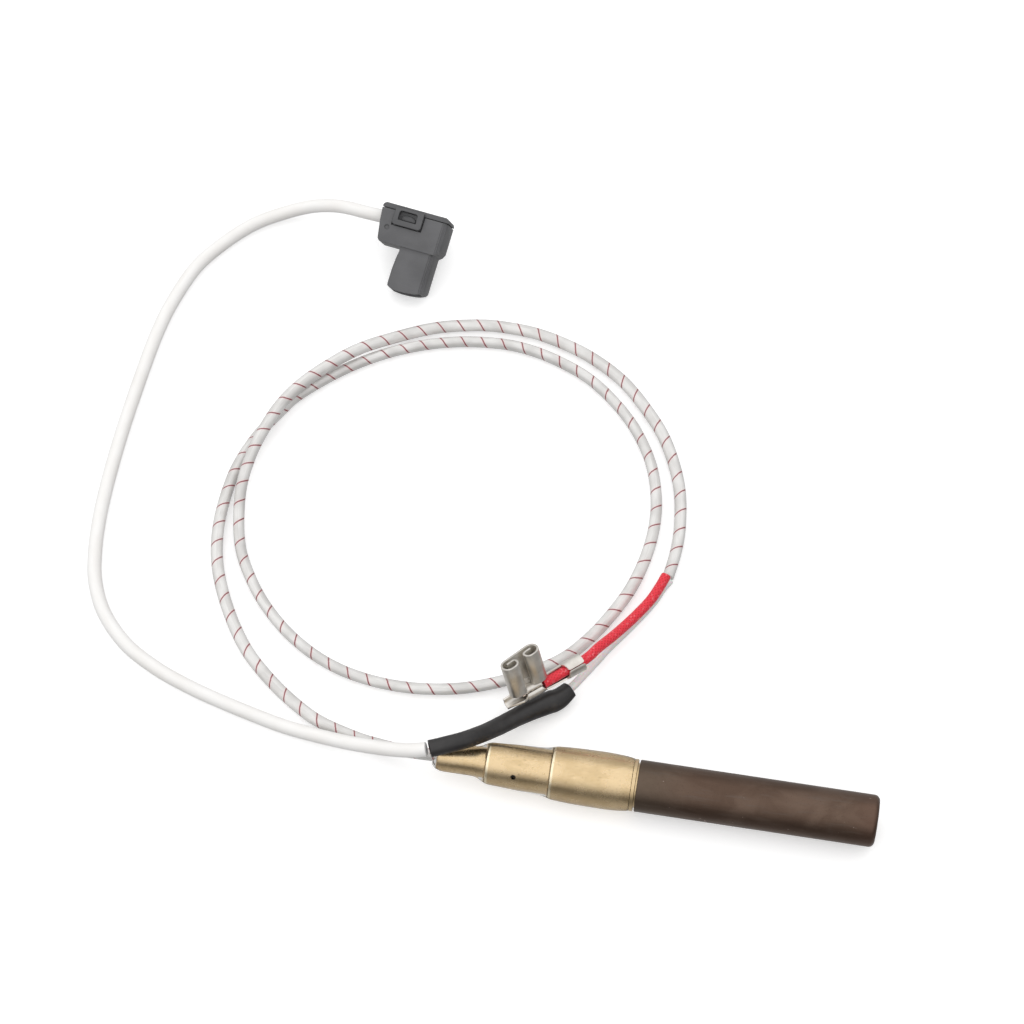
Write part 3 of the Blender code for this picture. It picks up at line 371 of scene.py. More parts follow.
def plastic_material(name, dark, light):
    """Moulded black nylon with a fine spark-eroded grain."""
    s = Shader(name, Roughness=0.5, IOR=1.5)
    grain = s.speckle(5200, 2.0)
    flow = s.noise(s.place((150, 260, 150), (0, 0, 0.3)), detail=3.0)
    scratches = s.noise(s.place((700, 7000, 700), (0, 0, 0.16)), detail=2.0)
    body = s.mix(s.spread(flow, 0.3, 0.7), dark, light)
    s.set("Base Color", s.mix(s.spread(scratches, 0.64, 0.75, 0.0, 0.3), body, (0.17, 0.17, 0.175)))
    s.set("Roughness", s.spread(grain, 0.3, 0.7, 0.42, 0.58))
    s.bump(grain, 0.00003, 0.4)
    s.bump(scratches, 0.00001, 0.3)
    return s.mat


def strand_material(name, low, high):
    """Drawn wire strands."""
    s = Shader(name, Metallic=1.0, Roughness=0.3)
    tint = s.speckle(1500, 3.0)
    s.set("Base Color", s.mix(s.spread(tint, 0.35, 0.65), low, high))
    s.bump(tint, 0.00003, 0.3)
    return s.mat


def ceramic_material(name, low, high):
    """Matt fired ceramic, mica or cement."""
    s = Shader(name, Roughness=0.75)
    grain = s.speckle(2200, 4.0)
    s.set("Base Color", s.mix(s.spread(grain, 0.35, 0.65), low, high))
    s.bump(grain, 0.00005, 0.4)
    return s.mat


# ---------------------------------------------------------------- mesh building
def distances(path):
    """Distance along a path at each of its points."""
    run = [0.0]
    for a, b in zip(path, path[1:]):
        run.append(run[-1] + (b - a).length)
    return run


def catmull_rom(points, samples):
    """Evenly spaced points on a smooth curve through the given points."""
    pts = [Vector(p) for p in points]
    pts = [2 * pts[0] - pts[1]] + pts + [2 * pts[-1] - pts[-2]]
    fine = []
    for p0, p1, p2, p3 in zip(pts, pts[1:], pts[2:], pts[3:]):
        for step in range(16):
            t = step / 16
            fine.append(0.5 * (2 * p1 + (p2 - p0) * t + (2 * p0 - 5 * p1 + 4 * p2 - p3) * t * t
                               + (3 * p1 - p0 - 3 * p2 + p3) * t ** 3))
    fine.append(pts[-2].copy())
    run = distances(fine)
    out = []
    k = 0
    for i in range(samples):
        target = run[-1] * i / (samples - 1)
        while k < len(run) - 2 and run[k + 1] < target:
            k += 1
        share = (target - run[k]) / max(run[k + 1] - run[k], 1e-9)
        out.append(fine[k].lerp(fine[k + 1], share))
    return out


def finish_mesh(name, bm, mats, smooth=True, angle=35.0):
    bmesh.ops.recalc_face_normals(bm, faces=bm.faces)
    mesh = bpy.data.meshes.new(name)
    bm.to_mesh(mesh)
    bm.free()
    for mat in mats if isinstance(mats, (list, tuple)) else [mats]:
        mesh.materials.append(mat)
    if smooth:
        mesh.shade_smooth()
        mesh.set_sharp_from_angle(angle=math.radians(angle))
    obj = bpy.data.objects.new(name, mesh)
    bpy.context.scene.collection.objects.link(obj)
    return obj


def frames_along(path):
    """At each point: direction, upward side and the side across, without sudden turns."""
    side = Vector((0, 0, 1))
    out = []
    for i, place in enumerate(path):
        ahead = (path[min(i + 1, len(path) - 1)] - path[max(i - 1, 0)]).normalized()
        side = (side - ahead * side.dot(ahead)).normalized()
        out.append((place, ahead, side, ahead.cross(side)))
    return out


def bridge(bm, lower, upper):
    """Faces between two rings of points; either ring may be a single point."""
    count = max(len(lower), len(upper))
    for n in range(count):
        m = (n + 1) % count
        corners = dict.fromkeys((lower[n % len(lower)], lower[m % len(lower)],
                                 upper[m % len(upper)], upper[n % len(upper)]))
        if len(corners) > 2:
            bm.faces.new(list(corners))


def lump(along, angle, around):
    """Size from 0 to 1 of a smooth random lump at a scaled distance and a turn."""
    return abs(noise.noise(Vector((along, math.cos(angle) * around, math.sin(angle) * around))))


def tube(name, path, section, sides, mats, hollow=0.0, dome=0.0):
    """Tube along a path.  section(share, s, angle) gives the radius; the UV map "tube" holds the
    distance along it in metres and the turn round it.  A hollow tube has an inner wall."""
    bm = bmesh.new()
    uv = bm.loops.layers.uv.new("tube")
    total = distances(path)[-1]
    outer = []
    inner = []
    places = frames_along(path)
    for (place, _, up, across), run in zip(places, distances(path)):
        ring = []
        hole = []
        for n in range(sides):
            angle = 2 * math.pi * n / sides
            way = up * math.cos(angle) + across * math.sin(angle)
            radius = section(run / total, run, angle)
            ring.append(bm.verts.new(place + way * radius))
            if hollow:
                hole.append(bm.verts.new(place + way * (radius - hollow)))
        outer.append((ring, run))
        inner.append((hole, run))
    rows = [outer] + ([inner] if hollow else [])
    for flip, row in enumerate(rows):
        for (ring0, run0), (ring1, run1) in zip(row, row[1:]):
            for n in range(sides):
                m = (n + 1) % sides
                corners = [(ring0[n], run0, n), (ring0[m], run0, n + 1),
                           (ring1[m], run1, n + 1), (ring1[n], run1, n)]
                if flip:
                    corners.reverse()
                face = bm.faces.new([corner[0] for corner in corners])
                for loop, corner in zip(face.loops, corners):
                    loop[uv].uv = (corner[1], corner[2] / sides)
    for end, sign in ((0, -1), (-1, 1)):
        last = ring = outer[end][0]
        if hollow:
            bridge(bm, ring, inner[end][0])
            continue
        place, ahead = places[end][:2]
        for share in (0.92, 0.7, 0.35):
            rise = ahead * sign * dome * (1 - share ** 2) ** 0.5
            layer = [bm.verts.new(place.lerp(v.co, share) + rise) for v in ring]
            bridge(bm, last, layer)
            last = layer
        bm.faces.new(last)
    return finish_mesh(name, bm, mats, angle=50.0)


def lathe(name, profile, mats, sides=144, jitter=None):
    """Revolve a closed loop of (x, radius) points about the probe's axis; points on it close an end."""
    bm = bmesh.new()
    uv = bm.loops.layers.uv.new("tube")
    rings = []
    for x, radius in profile:
        if radius < 1e-7:
            rings.append([bm.verts.new((x, 0, AXIS_HEIGHT))])
            continue
        ring = []
        for k in range(sides):
            angle = 2 * math.pi * k / sides
            grown = radius * (jitter(x, angle) if jitter else 1.0)
            ring.append(bm.verts.new((x, grown * math.cos(angle), AXIS_HEIGHT + grown * math.sin(angle))))
        rings.append(ring)
    for lower, upper in zip(rings, rings[1:] + rings[:1]):
        bridge(bm, lower, upper)
    for face in bm.faces:
        for loop in face.loops:
            co = loop.vert.co
            loop[uv].uv = (co.x, math.atan2(co.z - AXIS_HEIGHT, co.y) / (2 * math.pi))
    return finish_mesh(name, bm, mats)


def arc(centre, radius, start, end, steps):
    points = []
    for i in range(steps + 1):
        angle = math.radians(start + (end - start) * i / steps)
        points.append((centre[0] + radius * math.cos(angle), centre[1] + radius * math.sin(angle)))
    return points


def smooth_profile(points, per_span):
    """Points of a smooth curve through (x, radius) points."""
    path = catmull_rom([(x, 0, r) for x, r in points], per_span * len(points))
    return [(p.x, p.z) for p in path]


def solid_box(name, low, high, mats, bevel=0.0):
    bm = bmesh.new()
    bmesh.ops.create_cube(bm, size=1.0)
    for vert in bm.verts:
        for axis in range(3):
            vert.co[axis] = low[axis] if vert.co[axis] < 0 else high[axis]
    if bevel:
        bmesh.ops.bevel(bm, geom=list(bm.edges), offset=bevel, segments=3, profile=0.5, affect="EDGES")
    return finish_mesh(name, bm, mats)


def prism(name, outline, z0, z1, mats, bevel=0.0):
    """Outline in XY extruded from z0 to z1, with its sharp edges rounded."""
    bm = bmesh.new()
    lower = [bm.verts.new((x, y, z0)) for x, y in outline]
    upper = [bm.verts.new((x, y, z1)) for x, y in outline]
    bm.faces.new(list(reversed(lower)))
    bm.faces.new(upper)
    bridge(bm, lower, upper)
    if bevel:
        bm.normal_update()
        sharp = [edge for edge in bm.edges if edge.calc_face_angle(0.0) > math.radians(25)]
        bmesh.ops.bevel(bm, geom=sharp, offset=bevel, segments=3, profile=0.5, affect="EDGES",
                        clamp_overlap=True)
    return finish_mesh(name, bm, mats)


def apply_modifiers(obj):
    graph = bpy.context.evaluated_depsgraph_get()
    mesh = bpy.data.meshes.new_from_object(obj.evaluated_get(graph))
    obj.modifiers.clear()
    obj.data = mesh


def combine(obj, other, operation):
    """Boolean of two pieces, applied to the first; the other is removed."""
    modifier = obj.modifiers.new("combine", "BOOLEAN")
    modifier.operation = operation
    modifier.solver = "EXACT"
    modifier.object = other
    apply_modifiers(obj)
    bpy.data.objects.remove(other, do_unlink=True)


def sharpen(obj, angle):
    """Smooth shading, broken at edges sharper than an angle."""
    obj.data.shade_smooth()
    obj.data.set_sharp_from_angle(angle=math.radians(angle))


def soften(obj, width, segments, angle):
    """Round the sharp edges of a finished piece a little."""
    modifier = obj.modifiers.new("soften", "BEVEL")
    modifier.width = width
    modifier.segments = segments
    modifier.limit_method = "ANGLE"
    modifier.angle_limit = math.radians(angle)
    modifier.harden_normals = False
    apply_modifiers(obj)
    sharpen(obj, 38)


def put(obj, place):
    obj.data.transform(place)


def settle(obj, body, slot, *replaced):
    """Ride on a body and stand for CAD nodes, which are hidden; the slot is not used."""
    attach(obj, body)
    if replaced:
        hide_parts(*replaced)
    return obj


# ---------------------------------------------------------------- camera, floor and light
def make_camera():
    data = bpy.data.cameras.new("camera")
    data.lens = 118.27
    data.sensor_width = 36.0
    camera = bpy.data.objects.new("camera", data)
    bpy.context.scene.collection.objects.link(camera)
    camera.location = (0.01522, -0.25545, 0.5960)
    aim = Vector((-0.03599, 0.05728, 0.0)) - camera.location
    camera.rotation_euler = aim.to_track_quat("-Z", "Y").to_euler()
    data.clip_start = 0.01
    bpy.context.scene.camera = camera


def make_world():
    """A bright tent overhead that fades to a dim room in front and to the right, over a grey table."""
    world = bpy.data.worlds.new("studio")
    bpy.context.scene.world = world
    world.use_nodes = True
    n = Nodes(world.node_tree)
    # the room's sides as a viewer at azimuth 9.3 degrees has them
    way = n.node("ShaderNodeTexCoord").outputs["Generated"]
    front, right, up = (
        n.node("ShaderNodeVectorMath", {0: way, 1: axis}, operation="DOT_PRODUCT").outputs["Value"]
        for axis in ((0.161, -0.987, 0), (0.987, 0.161, 0), (0, 0, 1)))
    # turn: 0 in front, then up, behind and below, in degrees; aside: 0 at the far left, 1 at the right
    turn = n.math("MULTIPLY_ADD", n.math("ARCTAN2", up, front), 1 / (2 * math.pi))
    aside = n.math("MULTIPLY_ADD", right, 0.5)
    levels = [(-180, 0.52), (-120, 0.46), (-59, 0.42), (-37, 0.30), (-19, 0.16), (-4, 0.15), (8, 0.30),
              (23, 0.58), (37, 0.80), (50, 0.94), (74, 1.0), (100, 0.96), (128, 1.0), (143, 0.80),
              (161, 0.56), (180, 0.54)]
    around = n.ramp(turn, [((angle + 180) / 360, level) for angle, level in levels])
    across = n.ramp(aside, [(0.0, 1.0), (0.5, 1.0), (0.75, 0.92), (1.0, 0.56)])
    background = n.tree.nodes["Background"]
    n.feed(background.inputs["Color"], n.mix(1.0, around, across, "MULTIPLY"))
    background.inputs["Strength"].default_value = 1.25


def make_studio():
    make_world()
    floor = Shader("pale_floor", Base_Color=(0.90, 0.90, 0.90), Roughness=0.7,
                   Emission_Color=(1.0, 1.0, 1.0), Emission_Strength=0.34)
    fleck = floor.speckle(40, 2.0)
    floor.set("Roughness", floor.spread(fleck, 0.3, 0.7, 0.6, 0.8))
    bm = bmesh.new()
    bmesh.ops.create_grid(bm, x_segments=1, y_segments=1, size=2.5)
    plane = finish_mesh("floor", bm, floor.mat, smooth=False)
    plane.location = (0, 0, FLOOR_Z)
    # from below, the world's grey lower half lights the object, not the floor
    plane.visible_glossy = False
    plane.visible_diffuse = False
    plane.visible_transmission = False
    plane.visible_shadow = False
    bpy.context.scene.view_settings.view_transform = "Standard"


# ---------------------------------------------------------------- cords
def lead_section(share, run, angle):
    """Slightly flat jacket whose flat side slowly turns along the lead."""
    turn = 0.9 * math.sin(run * 23.0 + 0.6) + run * 6.0
    flat = 0.055 * (1.0 - math.cos(2 * (angle - turn)))
    return LEAD_DIAMETER / 2 * (0.995 - flat - 0.02 * lump(run * 260, angle, 1.3))


def make_lead():
    path = catmull_rom(LEAD_ROUTE, 760)
    lead = tube("lead_jacket", path, lead_section, 28, jacket_material(), dome=0.0002)
    settle(lead, "body", "lead", "lead")
    return lead, path


def make_white_cable():
    path = catmull_rom(WHITE_ROUTE, 320)

    def section(share, run, angle):
        return WHITE_DIAMETER / 2 * (0.97 - 0.012 * lump(run * 90, angle, 1))

    cable = tube("white_cable_jacket", path, section, 32, white_material(), dome=0.0002)
    settle(cable, "body", "white", "white_cable")
    return cable, path


def make_red_sleeve():
    path = catmull_rom(RED_SLEEVE_ROUTE, 150)

    def section(share, run, angle):
        rise = 2 * math.pi * (run / BRAID_PITCH)
        weave = 0.012 * math.sin(rise + BRAID_THREADS * angle) * math.sin(rise - BRAID_THREADS * angle)
        frayed = 0.10 * max(0.0, share - 0.97) / 0.03 * noise.noise(Vector((angle * 2.2, run * 3000, 4.0)))
        return RED_DIAMETER / 2 * (0.97 + weave - abs(frayed))

    sleeve = tube("red_braid_sleeve", path, section, 40, red_material(), hollow=0.00028)
    settle(sleeve, "body", "red", "red_sleeve")
    return sleeve, path


def make_negative_wire(strands):
    """Natural jacket round a stranded wire."""
    path = catmull_rom(NEGATIVE_ROUTE, 130)

    def section(share, run, angle):
        return NEGATIVE_DIAMETER / 2

    jacket = tube("negative_wire_jacket", path, section, 28, milky_material(), dome=0.0001)
    settle(jacket, "body", "clear_wire", "negative_wire")
    core = twisted_strands("negative_wire_strands", path, 0.00040, 0.00021, 6, 0.006, strands)
    settle(core, "body", "strands")
    return jacket, path, core


def twisted_strands(name, path, ring, radius, count, pitch, mat, sides=8):
    """Bundle of strands twisted round a path, as one mesh."""
    bm = bmesh.new()
    places = frames_along(path)
    run = distances(path)
    for strand in range(count + 1):
        offset = ring if strand < count else 0.0
        rings = []
        for (place, _, up, across), along in zip(places, run):
            turn = 2 * math.pi * (strand / count + along / pitch)
            centre = place + (up * math.cos(turn) + across * math.sin(turn)) * offset
            angles = [2 * math.pi * n / sides for n in range(sides)]
            rings.append([bm.verts.new(centre + (up * math.cos(angle) + across * math.sin(angle)) * radius)
                          for angle in angles])
        for lower, upper in zip(rings, rings[1:]):
            bridge(bm, lower, upper)
        bm.faces.new(rings[0])
        bm.faces.new(rings[-1])
    return finish_mesh(name, bm, mat)


def make_black_sleeve():
    """Heat-shrink sleeve: tight on the white cable, swollen and faceted over the splice."""
    path = catmull_rom(SHRINK_ROUTE, 120)
    swollen = 0.72                # share of the sleeve before it swells over the splice
    ridge_at, ridge_width = 0.0165, 0.0006

    def section(share, run, angle):
        at = share * (len(SHRINK_RADII) - 1)
        k = min(int(at), len(SHRINK_RADII) - 2)
        radius = SHRINK_RADII[k] + (SHRINK_RADII[k + 1] - SHRINK_RADII[k]) * (at - k)
        facets = 0.05 * max(0.0, share - swollen) / (1 - swollen) * (math.cos(4 * angle + 0.5) - 1)
        ridge = 0.02 * math.exp(-((run - ridge_at) / ridge_width) ** 2)
        return radius * (0.975 + facets + ridge - 0.03 * lump(run * 260, angle, 1.2))

    sleeve = tube("black_shrink_skin", path, section, 56, shrink_material(), hollow=0.0005)
    settle(sleeve, "body", "shrink", "black_shrink_sleeve")
    return sleeve


# ---------------------------------------------------------------- probe
def make_sheath():
    """Drawn cup with a rounded end and a slightly rolled open edge."""
    tip = SHEATH_HIGH.x
    outer = (SHEATH_HIGH.z - SHEATH_LOW.z) / 2
    wall = 0.0004
    corner = 0.0011
    mouth = SHEATH_LOW.x
    profile = [(mouth + 0.0001, outer - wall), (mouth, outer - wall + 0.0001), (mouth, outer - 0.00012),
               (mouth + 0.00012, outer)]
    profile += [(mouth + (tip - corner - mouth) * k / 24, outer) for k in range(1, 24)]
    profile += arc((tip - corner, outer - corner), corner, 90, 6, 12)
    profile += [(tip - 0.00002, 0.0030), (tip - 0.00008, 0.0015), (tip - 0.0001, 0), (tip - wall, 0)]
    profile += arc((tip - corner, outer - corner), corner - wall, 0, 90, 6)

    def jitter(x, angle):
        return 1.0 - 0.0035 * lump(x * 160, angle, 1.5)

    sheath = lathe("sheath_cup", profile, sheath_material(), jitter=jitter)
    return settle(sheath, "body", "sheath", "hot_sheath")


def brass_profile():
    """Outer profile of the brass housing from tail to spigot, as (x, radius)."""
    front, small, middle, collar = -0.0027, 0.00240, 0.00355, 0.00500
    corner = 0.0004
    points = [(BRASS_TAIL, small - 0.0002), (BRASS_TAIL + 0.0002, small)]
    for x, below, above in zip(BRASS_SHOULDERS, (small, middle), (middle, BRASS_LARGE)):
        points += [(x - 0.00025, below), (x - 0.00005, below + 0.0001), (x, above - corner)]
        points += arc((x + corner, above - corner), corner, 180, 90, 8)
    points += [(front - 0.0008, BRASS_LARGE), (front - 0.0008, collar - 0.0001), (front - 0.0007, collar),
               (front - 0.0001, collar), (front, collar - 0.0001), (front, 0.0043)]
    return points


def make_brass():
    spigot_end, bore, tail_bore, step = 0.0033, 0.0029, 0.0016, -0.0300
    profile = brass_profile() + [(spigot_end - 0.0002, 0.0043), (spigot_end, 0.0041), (spigot_end, bore),
                                 (step, bore), (step, tail_bore), (BRASS_TAIL, tail_bore)]
    housing = lathe("brass_body", profile, brass_material())
    bpy.context.view_layer.update()
    vent, elevation = 0.0005, math.radians(34.0)
    out = Vector((0, -math.cos(elevation), math.sin(elevation)))
    bm = bmesh.new()
    bmesh.ops.create_cone(bm, cap_ends=True, segments=40, radius1=vent, radius2=vent, depth=0.006)
    drill = finish_mesh("drill", bm, brass_material())
    vent_place = Vector((-0.0259, 0, AXIS_HEIGHT)) + out * 0.0036
    put(drill, Matrix.Translation(vent_place) @ out.to_track_quat("Z", "Y").to_matrix().to_4x4())
    combine(housing, drill, "DIFFERENCE")
    sharpen(housing, 30)
    return settle(housing, "body", "brass", "brass_housing")


def make_clear_sleeve(clear):
    """Clear shrink sleeve that clings to the brass steps, with soft cones over the shoulders."""
    outline = [
        (-0.0418, 0.00190), (-0.0415, 0.00222), (-0.0411, 0.00250), (-0.0406, 0.00270), (-0.0398, 0.00287),
        (-0.0370, 0.00290), (-0.0342, 0.00291), (-0.0330, 0.00312), (-0.0320, 0.00363), (-0.0311, 0.00400),
        (-0.0300, 0.00411), (-0.0280, 0.00421), (-0.0255, 0.00436), (-0.0225, 0.00449), (-0.0206, 0.00462),
        (-0.0195, 0.00482), (-0.0186, 0.00508), (-0.0175, 0.00521), (-0.0150, 0.00535), (-0.0120, 0.00543),
        (-0.0085, 0.00545), (-0.0060, 0.00535), (-0.0046, 0.00522), (-0.0037, 0.00508), (SLEEVE_END, 0.00504),
    ]
    outer = smooth_profile(outline, 5)
    cling = 0.00003
    lead_radius = LEAD_DIAMETER / 2 * 0.93
    inner = [(SLEEVE_END, BRASS_LARGE - cling)]
    inner += [(x, r - cling) for x, r in reversed(brass_profile()) if x < -0.0042 and r <= BRASS_LARGE]
    inner += [(-0.0411, 0.0019), (-0.0414, lead_radius), (-0.0418, lead_radius)]

    def jitter(x, angle):
        return 1.0 - 0.006 * lump(x * 300, angle, 1.6)

    sleeve = lathe("clear_shrink_skin", outer + inner, clear, jitter=jitter)
    return settle(sleeve, "body", "clear", "clear_shrink_sleeve")


# ---------------------------------------------------------------- flag terminal
TERMINAL_PLACE = Vector((-0.02965, 0.01224, 0.0066))
TERMINAL_ALONG = Vector((0.750, 0.661, 0.0)).normalized()
TERMINAL_UP = Vector((-0.296, 0.336, 0.935))
TERMINAL_TWIST = math.radians(8.0)
SHEET = 0.0004
BARREL = [
    # x, radius of the wrap's middle, half of its open angle
    (0.0000, 0.00120, 122), (0.0008, 0.00120, 118), (0.0018, 0.00120, 108), (0.0034, 0.00122, 84),
    (0.0038, 0.00123, 60), (0.0041, 0.00124, 22), (0.0044, 0.00125, 8), (0.0048, 0.00122, 6),
    (0.0072, 0.00122, 6), (0.0076, 0.00125, 8), (0.0080, 0.00128, 35), (0.0085, 0.00130, 76),
    (0.0100, 0.00138, 78), (0.0130, 0.00150, 78), (0.0134, 0.00153, 50), (0.0137, 0.00156, 8),
    (0.0140, 0.00154, 3), (0.0165, 0.00154, 3), (0.0169, 0.00157, 5), (0.0172, 0.00161, 10),
]
BARREL_FACING = 150.0
CONDUCTOR_CRIMP = (0.0043, 0.0077)
INSULATION_CRIMP = 0.0136
FLOOR_OFFSET = 0.0012


def terminal_matrix():
    """X along the crimps, Z towards the receptacle's mouth."""
    along = TERMINAL_ALONG
    up = (TERMINAL_UP - along * TERMINAL_UP.dot(along)).normalized()
    turn = Matrix((along, up.cross(along), up)).transposed().to_4x4()
    return Matrix.Translation(TERMINAL_PLACE) @ turn


def offset_outline(path, thickness):
    """Closed outline of a sheet whose middle follows an open path."""
    near = []
    far = []
    for k, point in enumerate(path):
        ahead = (path[min(k + 1, len(path) - 1)] - path[max(k - 1, 0)]).normalized()
        aside = Vector((-ahead.y, ahead.x)) * thickness / 2
        near.append(point + aside)
        far.append(point - aside)
    return [tuple(p) for p in far + near[::-1]]


def receptacle_outline():
    """Folded sheet seen from its mouth: a flat back, two rolls and their turned-in lips."""
    roll, bend, inner, lip, lip_end = 0.00142, 0.0011, 0.0010, 0.00033, 0.0029
    turn = bend / 2
    reach = (0.0086 - SHEET) / 2 - roll
    half = [(0.0, roll)] + arc((reach, 0.0), roll, 90, -90, 20)
    half += arc((inner + bend, bend - roll), bend, -90, -180, 10)
    half += arc((inner + turn, lip - turn), turn, 180, 90, 6)
    half += [(lip_end, lip)]
    path = [Vector((-x, y)) for x, y in reversed(half[1:])] + [Vector(p) for p in half]
    return offset_outline(path, SHEET)


def barrel_mesh(mat):
    """Wrap of sheet metal: cut-off tab, conductor crimp, open trough and insulation crimp."""
    bm = bmesh.new()
    steps = 28
    rows = []
    facing = math.radians(BARREL_FACING)
    for x, radius, opening in BARREL:
        outer = []
        inner = []
        for n in range(steps + 1):
            angle = math.radians(BARREL_FACING + opening + (360.0 - 2 * opening) * n / steps)
            squeeze = 1.0
            if CONDUCTOR_CRIMP[0] < x < CONDUCTOR_CRIMP[1]:
                squeeze = 1.0 - 0.10 * math.cos(2 * (angle - facing))
                from_gap = (angle - facing + math.pi) % (2 * math.pi) - math.pi
                squeeze -= 0.24 * math.exp(-(from_gap / 0.32) ** 2)
            if x > INSULATION_CRIMP:
                squeeze = 0.99 + 0.03 * math.cos(4 * (angle - facing))
            for ring, r in ((outer, radius * squeeze + SHEET / 2), (inner, radius * squeeze - SHEET / 2)):
                ring.append(bm.verts.new((x, r * math.cos(angle), r * math.sin(angle))))
        rows.append((outer, inner))
    for (o0, i0), (o1, i1) in zip(rows, rows[1:]):
        for n in range(steps):
            bm.faces.new((o0[n], o0[n + 1], o1[n + 1], o1[n]))
            bm.faces.new((i0[n + 1], i0[n], i1[n], i1[n + 1]))
        for n in (0, steps):
            bm.faces.new((o0[n], o1[n], i1[n], i0[n]))
    for outer, inner in (rows[0], rows[-1]):
        for n in range(steps):
            bm.faces.new((outer[n], inner[n], inner[n + 1], outer[n + 1]))
    return finish_mesh("flag_terminal_metal", bm, mat, angle=40)


def make_flag_terminal(mat):
    terminal = barrel_mesh(mat)
    bottom, height, centre = 0.0017, 0.0074, 0.0052
    receptacle = prism("receptacle", receptacle_outline(), bottom, bottom + height, mat)
    turn = Matrix.Translation((centre, FLOOR_OFFSET, 0)) @ Matrix.Rotation(TERMINAL_TWIST, 4, "Z")
    put(receptacle, turn @ Matrix.Translation((0, -0.0012, 0)))
    neck = solid_box("neck", (centre - 0.00203, FLOOR_OFFSET - SHEET / 2, -0.0002),
                     (centre + 0.00203, FLOOR_OFFSET + SHEET / 2, bottom + 0.0006), mat, bevel=0.00008)
    combine(terminal, neck, "UNION")
    combine(terminal, receptacle, "UNION")
    soften(terminal, 0.00007, 2, 50)
    put(terminal, terminal_matrix())
    return settle(terminal, "body", "tin", "flag_terminal")


def make_conductor(mat):
    place = terminal_matrix()
    path = [place @ Vector((0.0036 + 0.0044 * k / 20, 0, 0)) for k in range(21)]
    bundle = twisted_strands("positive_strands", path, 0.00031, 0.00017, 6, 0.007, mat)
    return settle(bundle, "body", "strands", "positive_conductor")


# ---------------------------------------------------------------- connector
CONNECTOR_PLACE = Vector((-0.074735, 0.105851, -0.001047))
CONNECTOR_TURN, CONNECTOR_PITCH, CONNECTOR_ROLL = math.radians(-9.2), math.radians(24.0), math.radians(-2.0)
WIDTH, THICK = 0.0144, 0.0062
BLOCK_FRONT, BLOCK_BACK = 0.0090, 0.01595
MATE_LEFT, MATE_RIGHT = 0.0055, 0.0135
COVER_FRONT, COVER_BACK = 0.01615, 0.01715
HINGE_Y, HINGE_Z = 0.01665, 0.0004
CABLE_Y, CABLE_Z = 0.0141, 0.0031
CABLE_SLOT = 0.00178              # half of the slot's width
RIM = 0.0004                      # inset of the rim behind the cover's gap
BEAD = 0.0004                     # radius of the hinge bead, and its distance from the cover's ends
PAST = 0.001                      # how far cutting shapes reach past what they cut


def connector_matrix():
    """Origin at the mating end's left corner; X across, Y towards the cover, Z up."""
    return (Matrix.Translation(CONNECTOR_PLACE) @ Matrix.Rotation(CONNECTOR_TURN, 4, "Z")
            @ Matrix.Rotation(CONNECTOR_PITCH, 4, "X") @ Matrix.Rotation(CONNECTOR_ROLL, 4, "Y"))


def along_y(name, section, front, back, mat):
    """A section of (z, x) points extruded along Y."""
    made = prism(name, section, front, back, mat)
    put(made, Matrix(((0, 1, 0, 0), (0, 0, 1, 0), (1, 0, 0, 0), (0, 0, 0, 1))))
    return made


def ridged_edge(top, outer):
    """Three fine ridges where the top face turns down to the right side, as (z, x) points."""
    steps = [(0.0009, 0.0), (0.00055, 0.00012), (0.00030, 0.00022), (0.00034, 0.00034), (0.00010, 0.00050),
             (0.00022, 0.00066), (0.00002, 0.00082), (0.00014, 0.00100), (0.0, 0.00116)]
    return [(top - down, outer - inward) for down, inward in steps]


